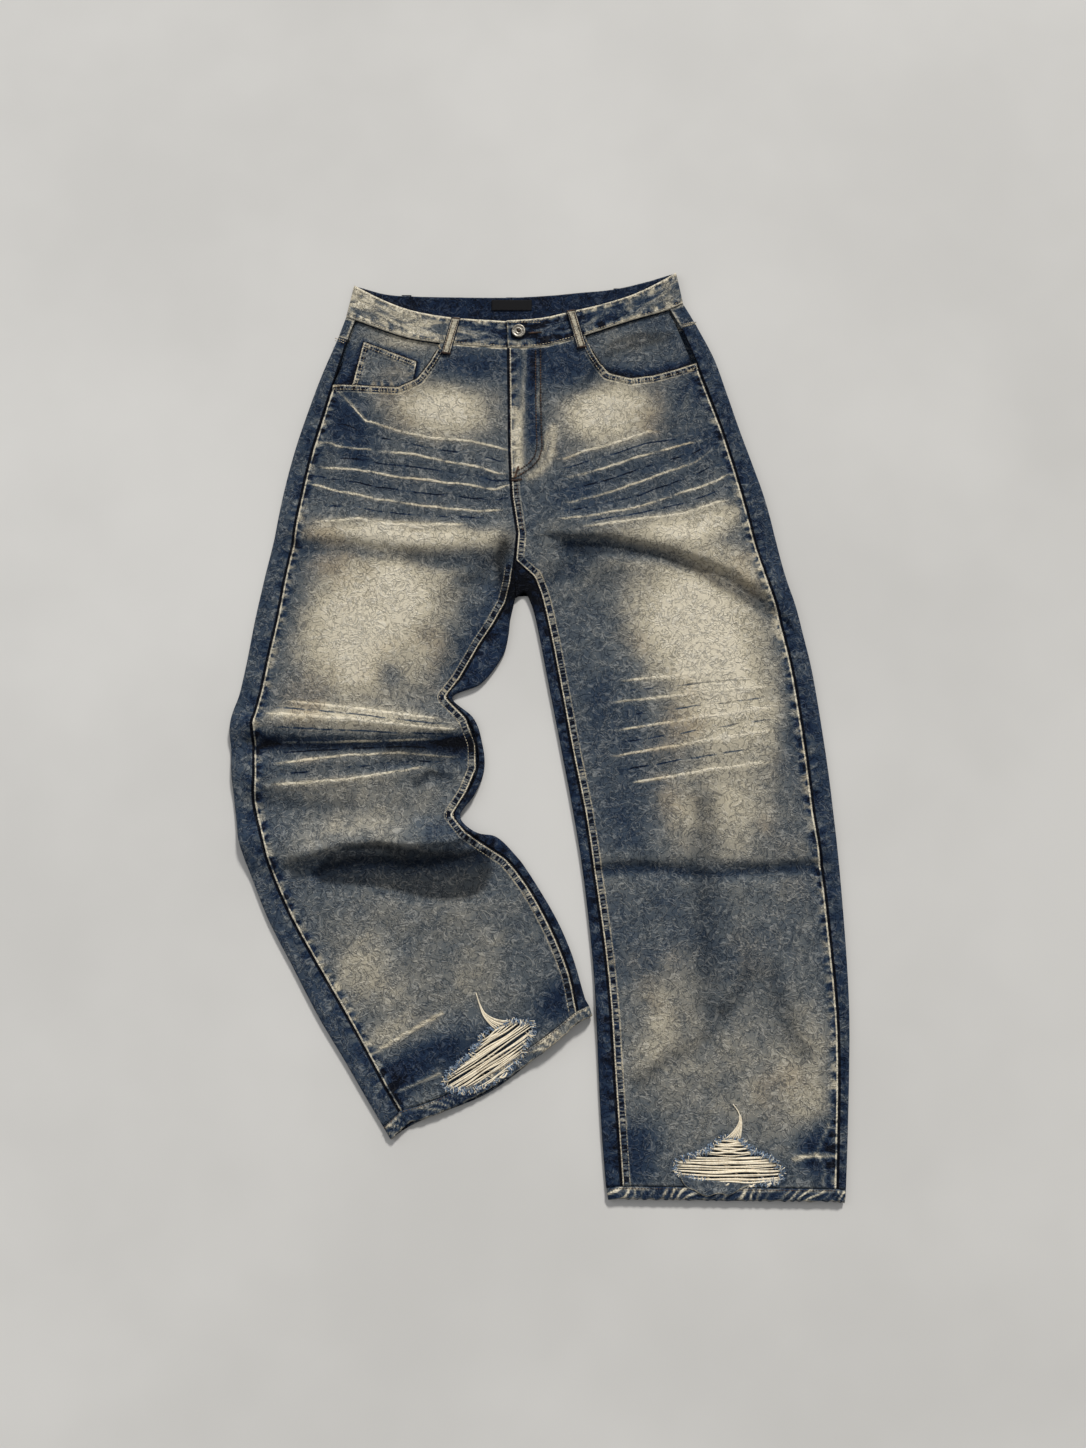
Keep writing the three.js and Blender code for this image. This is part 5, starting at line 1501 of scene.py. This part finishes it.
# The way the threads run, in degrees, the gap between them, and the tail's line
THREAD_TURN = {"right": 33, "left": 0}
THREAD_GAP = {"right": 3.1, "left": 3.0}
TAILS = {
    "right": [(-36, -362), (-46, -358), (-56, -350), (-62, -338), (-66, -326)],
    "left": [(222, -486), (228, -476), (231, -466), (229, -457), (223, -448)],
}
THREAD_POINTS = 18
LOOSE_ENDS = 10
FRAYS = (("blue", blue_thread, 420, "washed_denim"), ("pale", undyed, 120, "bare_thread"))
for side in ("right", "left"):
    hole = RIPS[side]
    around = surface_of([f"front_panel_{side}", f"turned_hem_{side}"])
    turn = math.radians(THREAD_TURN[side])
    ahead = np.array((math.cos(turn), math.sin(turn)))
    aside = np.array((-math.sin(turn), math.cos(turn)))
    outline = np.array(hole, dtype=float)
    spans = outline @ aside
    middle = outline.mean(axis=0)
    threads = Yarn(6)
    level = spans.min() + 1.2
    while level < spans.max() - 1.0:
        hits = []
        for (p, q) in zip(outline, np.roll(outline, -1, axis=0)):
            a, b = p @ aside - level, q @ aside - level
            if a * b < 0:
                hits.append((p + (q - p) * a / (a - b)) @ ahead)
        hits.sort()
        for first, last in zip(hits[::2], hits[1::2]):
            height_share = (level - spans.min()) / (spans.max() - spans.min())
            loose = 1.0 - height_share
            strands = 2 if chance.random() < 0.6 else 1
            if loose > 0.55 and chance.random() < 0.15:
                continue
            for _ in range(strands):
                t = np.linspace(0, 1, THREAD_POINTS)
                at = first - 3.0 + t * (last - first + 6.0)
                bowed = np.sin(np.pi * t)
                sag = (0.5 + 3.4 * loose * chance.random()) * bowed * (1 if side == "left" else 0.8)
                wave = 1.3 * np.sin(t * chance.uniform(5, 12) + chance.uniform(0, 6)) * bowed
                off = level + chance.uniform(-0.8, 0.8) - sag + wave * chance.uniform(0.3, 1.0)
                line = at[:, None] * ahead + off[:, None] * aside
                ends = [height_at(around, *line[0]), height_at(around, *line[-1])]
                z = ends[0] * (1 - t) + ends[1] * t - 1.6 + bowed * (1.6 + chance.uniform(-0.5, 1.2))
                radius = chance.uniform(0.6, 1.15) * (0.7 + 0.3 * bowed)
                threads.lay(np.column_stack([line, z]), radius)
        level += THREAD_GAP[side] * chance.uniform(0.75, 1.25)
    # The tail: threads gathered at the top edge and lying on the cloth
    tail = np.array(TAILS[side], dtype=float)
    run = measure(tail)
    dense = through(run, tail, np.linspace(0, run[-1], THREAD_POINTS))
    for k in range(7):
        fanned = np.linspace(1, 0, THREAD_POINTS)[:, None] ** 2.5 * (k - 3) * (2.8 * ahead)[None]
        line = dense + fanned + chance.uniform(-0.35, 0.35, 2)
        stop = THREAD_POINTS if k % 2 else chance.integers(11, 17)
        z = np.array([height_at(around, *p) for p in line]) + 0.7 + 0.4 * chance.random()
        z[0] -= 1.2
        threads.lay(np.column_stack([line, z])[:stop], np.linspace(0.75, 0.3, THREAD_POINTS)[:stop])
    # Loose ends that hang over the lower edge
    for _ in range(LOOSE_ENDS):
        start = middle + ahead * chance.uniform(-30, 34) + aside * chance.uniform(-12, 4)
        way = chance.uniform(-0.9, 0.4)
        t = np.linspace(0, 1, 9)
        length = chance.uniform(9, 22)
        straight = t[:, None] * (ahead * math.cos(way) + aside * math.sin(way))
        line = start + length * (straight - (t[:, None] ** 2) * aside * 0.25)
        z = np.array([height_at(around, *p, 4.0) for p in line])
        z = np.maximum(z + 0.5, 5.2)
        threads.lay(np.column_stack([line, z]), np.linspace(0.6, 0.28, 9))
    piece = threads.piece(f"bare_threads_{side}", undyed)
    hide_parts(f"rip_threads_{side}")

    # Frayed edge: short blue and pale ends all round the hole
    for dye, material, count, slot in FRAYS:
        fray = Yarn(4)
        ring = np.array(hole + hole[:1], dtype=float)
        length = measure(ring)[-1]
        for _ in range(count):
            at = chance.uniform(0, length)
            place, ahead_of = read(ring, np.array([at, min(at + 1.0, length)]))
            way = ahead_of - place
            way = way / max(np.linalg.norm(way), 1e-6)
            inward = np.array((-way[1], way[0]))
            inside = place + inward
            if not within(inside[:1], inside[1:], hole)[0]:
                inward = -inward
            lean = chance.uniform(-0.8, 0.8)
            reach = chance.uniform(2.5, 7.5)
            start = place - inward * chance.uniform(0.5, 6.0)
            t = np.linspace(0, 1, 5)[:, None]
            line = start + t * reach * (inward * math.cos(lean) + way * math.sin(lean))
            line = line + t**2 * way * chance.uniform(-1.5, 1.5)
            base = height_at(around, *start)
            z = base + 0.25 + 0.35 * np.sin(np.pi * t[:, 0]) - 0.5 * t[:, 0]
            fray.lay(np.column_stack([line, z]), np.linspace(0.46, 0.2, 5))
        piece = fray.piece(f"frayed_{dye}_{side}", material)

# The left rip's lower lip: a strip of the front that is torn loose and lies over the hem's seam
lip_top = np.array([(162, -524), (174, -529), (204, -531), (226, -532), (240, -533)], dtype=float)
lip_run = measure(lip_top)
lip_rows, lip_columns = 10, 46
lip_across = np.linspace(0, 1, lip_columns)
lip_down = np.linspace(0, 1, lip_rows)
upper = through(lip_run, lip_top, lip_across * lip_run[-1])
depth = 15 * np.sin(np.pi * lip_across) ** 0.6 * (1 + 0.12 * np.sin(lip_across * 19))
plan = upper[None] - lip_down[:, None, None] * np.stack([0.2 * depth, depth], axis=1)[None]
around = surface_of(["front_panel_left", "turned_hem_left"])
level = np.array([[height_at(around, *place) for place in row] for row in plan])
curl = 0.5 * np.sin(lip_across * 27)[None] * lip_down[:, None]
plan_x, plan_y = plan[..., 0].reshape(-1), plan[..., 1].reshape(-1)
points = np.column_stack([plan_x, plan_y, (level + 1.1 + curl).reshape(-1)])
ends = np.minimum(lip_across, 1 - lip_across) * lip_run[-1]
from_rim = np.minimum((1 - lip_down)[:, None] * depth[None] + 0.8, ends[None] + 0.8).reshape(-1)
marks = {"wear": 0.42 + 0.06 * np.sin(plan_x / 4.0), "edge_mm": from_rim}
piece = cloth_mesh("torn_lip_left", points, grid_faces(lip_rows, lip_columns), marks, points[:, :2],
                   washed_denim, 1.0)
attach(piece, "root")

# ---------------------------------------------------------------------------------------------
# Stitching: thick sand-coloured and tobacco-brown thread, sewn through the laid pieces in rows and tacks.
# Each stitch is a short bar, fatter in the middle and sunk in the cloth at both ends.
# ---------------------------------------------------------------------------------------------


def thread_material(name, dark, pale):
    """Thread that has worn from its own dark shade to a pale one in places."""
    material, shader, shade, spot = new_material(name, 0.8)
    worn = shade.noise(spot, 160.0, 3.0, 0.6).ease(0.35, 0.65)
    coloured(shader, shade.colour_mix(worn, (*dark, 1), (*pale, 1)))
    return material


sand_thread = thread_material("sand_thread", srgb(120, 108, 92), srgb(214, 200, 170))
brown_thread = thread_material("brown_thread", srgb(32, 24, 22), srgb(92, 66, 48))


def beside(line, distance):
    """A line moved to its left by a distance."""
    way = np.gradient(line, axis=0)
    way /= np.maximum(np.linalg.norm(way, axis=1), 1e-9)[:, None]
    return line + distance * np.column_stack([-way[:, 1], way[:, 0]])


def smooth_line(line, step=2.0, rounds=2):
    """The same line with even places along it, its corners eased."""
    line = np.asarray(line, dtype=float)[:, :2]
    run = measure(line)
    line = read(line, np.linspace(0, run[-1], max(3, int(run[-1] / step))))
    for _ in range(rounds):
        line[1:-1] = (line[:-2] + 2 * line[1:-1] + line[2:]) / 4
    return line


class Stitches:
    """Gathers stitches into one mesh."""

    def __init__(self, tree):
        self.tree = tree
        self.points = []
        self.faces = []

    def bar(self, start, end, radius=0.42, sunk=0.1):
        """One stitch from start to end, in plan."""
        z0 = height_at(self.tree, *start)
        z1 = height_at(self.tree, *end)
        if abs(z1 - z0) > 1.6:
            return
        a = np.array((*start, z0 + radius - sunk - 0.25))
        b = np.array((*end, z1 + radius - sunk - 0.25))
        way = (b - a) / max(np.linalg.norm(b - a), 1e-6)
        across = np.cross(way, (0.0, 0.0, 1.0))
        across /= max(np.linalg.norm(across), 1e-6)
        up = np.cross(across, way)
        first = len(self.points)
        self.points.append(a - up * radius * 0.6)
        for share, swell, rise in ((0.14, 0.75, 0.0), (0.5, 1.0, 0.35), (0.86, 0.75, 0.0)):
            centre = a + (b - a) * share + up * rise * radius
            for k in range(5):
                angle = 2 * math.pi * k / 5 + math.pi / 2
                spoke = math.cos(angle) * across + math.sin(angle) * up
                self.points.append(centre + swell * radius * spoke)
        self.points.append(b - up * radius * 0.6)
        for k in range(5):
            j = (k + 1) % 5
            self.faces.append((first, first + 1 + j, first + 1 + k))
            for ring in (0, 1):
                p = first + 1 + ring * 5
                self.faces.append((p + k, p + j, p + 5 + j, p + 5 + k))
            self.faces.append((first + 16, first + 11 + k, first + 11 + j))

    def row(self, line, pitch=3.6, length=2.9, radius=0.42):
        """A row of stitches along a line."""
        line = smooth_line(line)
        run = measure(line)[-1]
        count = int(run / pitch)
        starts = (np.arange(count) + 0.5) * pitch - length / 2
        ends = starts + length
        first, last = read(line, starts), read(line, ends)
        for a, b in zip(first, last):
            drift = chance.uniform(-0.12, 0.12, 2)
            self.bar(a + drift, b - drift, radius * chance.uniform(0.9, 1.1))

    def tack(self, centre, way, width=8.0, wraps=9, radius=0.4):
        """A bartack: close wraps side by side across a short line."""
        way = np.asarray(way, dtype=float) / np.linalg.norm(way)
        cross = np.array((-way[1], way[0]))
        for k in range(wraps):
            at = np.asarray(centre, dtype=float) + way * (k / (wraps - 1) - 0.5) * width
            self.bar(at - cross * 1.3, at + cross * 1.3 + way * 0.3, radius)

    def piece(self, name, material):
        yarn = Yarn(4)
        yarn.points, yarn.faces = self.points, self.faces
        made = yarn.piece(name, material)
        return made


all_cloth = [
    "front_panel_right", "front_panel_left", "back_panel_right", "back_panel_left", "turned_hem_right",
    "turned_hem_left", "denim_waistband", "loop_front_right", "loop_front_left", "facing_right",
    "facing_left", "small_pocket", "back_yoke_right", "back_yoke_left",
]
cloth_tree = surface_of(all_cloth)


def scoop_part(side):
    """The pocket opening's own part of a front's top edge."""
    top = smooth_line(front_edges[side]["top"], 2.0, 1)
    way = np.diff(top, axis=0)
    angle = np.unwrap(np.arctan2(way[:, 1], way[:, 0]))
    turn = np.abs(angle[8:] - angle[:-8])
    low, high = int(0.3 * len(turn)), int(0.85 * len(turn))
    return top[: low + int(np.argmax(turn[low:high])) + 3]


# Sand-coloured rows: two round each pocket opening and two down each inseam
for side, inward in (("right", -1), ("left", 1)):
    rows = Stitches(cloth_tree)
    scoop = scoop_part(side)
    rows.row(beside(scoop, inward * 1.8))
    rows.row(beside(scoop, inward * 7.0))
    inner = smooth_line(front_edges[side]["inner"], 3.0, 2)
    first_leg = seam_lines[side]["first_leg"]
    crotch = seam_lines[side]["inseam"][0, :2]
    start = int(np.argmin(np.linalg.norm(inner - crotch, axis=1)))
    leg = inner[start + 3 :]
    rows.row(beside(leg, inward * 1.9))
    rows.row(beside(leg, inward * 9.6), 3.6, 2.9, 0.34)
    rows.piece(f"stitches_{side}", sand_thread)

# Brown rows: one down the centre seam, one more below the fly, and the fly's J in two rows
J_INNER = [(1, 452), (1, 400), (2, 345), (3, 328), (0, 314), (-8, 304), (-20, 296), (-29, 292)]
centre = Stitches(cloth_tree)
front_seam = [p for p in front_edges["left"]["inner"] if p[1] > 186]
centre_line = smooth_line(np.array(sorted(front_seam, key=lambda p: -p[1])), 2.0, 2)
centre.row(beside(centre_line, 1.8))
lower = centre_line[centre_line[:, 1] < 284]
centre.row(beside(lower, 7.5))
for line in (J_LINE, J_INNER):
    centre.row(line, 3.6, 3.0, 0.85)
centre.piece("stitches_fly", brown_thread)


def upper_parts(line, level):
    """The unbroken stretches of a line that lie higher than a level."""
    visible = line[line[:, 2] > level]
    splits = np.nonzero(np.linalg.norm(np.diff(visible[:, :2], axis=0), axis=1) > 12)[0]
    return [part for part in np.split(visible, splits + 1) if len(part) > 8]


# Waistband rows: a little in from both of its edges, on the front half only
BAND_INSET = 0.08
band_row = Stitches(cloth_tree)
for line, other in (band_edges, band_edges[::-1]):
    for part in upper_parts(line + (other - line) * BAND_INSET, 5.6):
        band_row.row(part)
band_row.piece("stitches_waistband", sand_thread)

# Brown tacks and rows: the belt loops' ends and sides, the fly's end, the hems and the buttonhole
tacks = Stitches(cloth_tree)
for name, lean in (("front_right", 1), ("front_left", -1)):
    (x0, y0, _), (x1, y1, _) = (np.array(corner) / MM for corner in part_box(f"belt_loop_{name}"))
    top_x, low_x = (x1 - 6.5, x0 + 6.5) if lean > 0 else (x0 + 6.5, x1 - 6.5)
    tacks.tack((low_x, y0 + 3.2), (1, -0.15 * lean), 10, 11, 0.8)
    tacks.tack((top_x, y1 - 3.2), (1, -0.15 * lean), 9, 11, 0.5)
    for shift in (-3.4, 3.4):
        tacks.row([(low_x + shift, y0 + 4), (top_x + shift, y1 - 4)], 2.9, 2.8, 0.75)
tacks.tack((-22, 294), (0.3, 1), 13, 11, 0.9)
tacks.tack((-22, 284), (1, 0.1), 12, 9, 0.8)
for side in ("right", "left"):
    for part in upper_parts(hem_edges[side], 4.6):
        tacks.row(part - np.array((0, 2.0, 0)), 3.4, 2.7)
tacks.tack((0, 474), (1, 0.06), 15, 13, 0.8)
tacks.piece("stitches_brown", brown_thread)

# Pale tacks at the pocket openings' ends, two rows on two sides of the coin pocket, and the yoke seams' ends
pale = Stitches(cloth_tree)
for place, way, width, wraps in (
    ((-243, 404), (1, 0.1), 8, 9), ((191, 424), (1, 0.2), 8, 9), ((62, 462), (0.5, 1), 7, 8),
    ((-118, 456), (0.5, -1), 7, 8),
):
    pale.tack(place, way, width, wraps, 0.5)
coin_top = smooth_line(COIN_POCKET[:2])
pale.row(beside(coin_top, -1.8), 3.4, 2.8, 0.5)
pale.row(beside(coin_top, -6.6))
coin_side = smooth_line([COIN_POCKET[3], COIN_POCKET[0]])
pale.row(beside(coin_side, -1.8))
pale.row(beside(coin_side, -6.6))
for start, stop in (((-247, 468), (-228, 461)), ((182, 485), (200, 489))):
    pale.row([start, stop], 2.6, 2.3, 0.6)
    pale.row([(start[0], start[1] - 3), (stop[0], stop[1] - 3)], 2.6, 2.3, 0.6)
pale.piece("stitches_pale", sand_thread)

# ---------------------------------------------------------------------------------------------
# Button: a steel tack button, its rim rolled up round a sunk face with the tack's head in the middle.
# ---------------------------------------------------------------------------------------------
steel, shader, shade, spot = new_material("worn_steel", 0.38, 1.0)
rub = shade.noise(spot, 420.0, 4.0, 0.6).ease(0.35, 0.7)
coloured(shader, shade.colour_mix(rub, (*srgb(120, 114, 104), 1), (*srgb(204, 198, 186), 1)))
dark_steel, shader, shade, spot = new_material("dark_steel", 0.5, 1.0)
rub = shade.noise(spot, 300.0, 3.0)
coloured(shader, shade.colour_mix(rub, (*srgb(34, 30, 28), 1), (*srgb(78, 70, 62), 1)))

low, high = (Vector(corner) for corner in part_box("button"))
centre_at = (low + high) / 2
radius = (high.x - low.x) / 2
thick = high.z - low.z


def on_axis(z):
    """A place on the button's own axis."""
    return centre_at.x, centre_at.y, z


parts = []
bpy.ops.mesh.primitive_cylinder_add(vertices=64, radius=radius * 0.96, depth=thick * 0.62,
                                    location=on_axis(low.z + thick * 0.31))
parts.append(bpy.context.active_object)
bpy.ops.mesh.primitive_torus_add(major_segments=72, minor_segments=14, major_radius=radius * 0.84,
                                 minor_radius=radius * 0.16, location=on_axis(high.z - radius * 0.16))
parts.append(bpy.context.active_object)
bpy.ops.mesh.primitive_torus_add(major_segments=48, minor_segments=10, major_radius=radius * 0.40,
                                 minor_radius=radius * 0.10, location=on_axis(low.z + thick * 0.64))
parts.append(bpy.context.active_object)
for part in parts:
    part.data.materials.append(steel)
bpy.ops.mesh.primitive_uv_sphere_add(segments=32, ring_count=12, radius=radius * 0.30,
                                     location=on_axis(low.z + thick * 0.60))
head = bpy.context.active_object
head.scale = (1, 1, 0.45)
head.data.materials.append(dark_steel)
bpy.ops.object.select_all(action="DESELECT")
for part in parts + [head]:
    part.select_set(True)
bpy.context.view_layer.objects.active = parts[0]
bpy.ops.object.transform_apply(location=True, rotation=True, scale=True)
bpy.ops.object.join()
button = bpy.context.active_object
button.name = "tack_button"
bpy.ops.object.shade_smooth_by_angle(angle=math.radians(40))
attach(button, "root")
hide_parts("button")
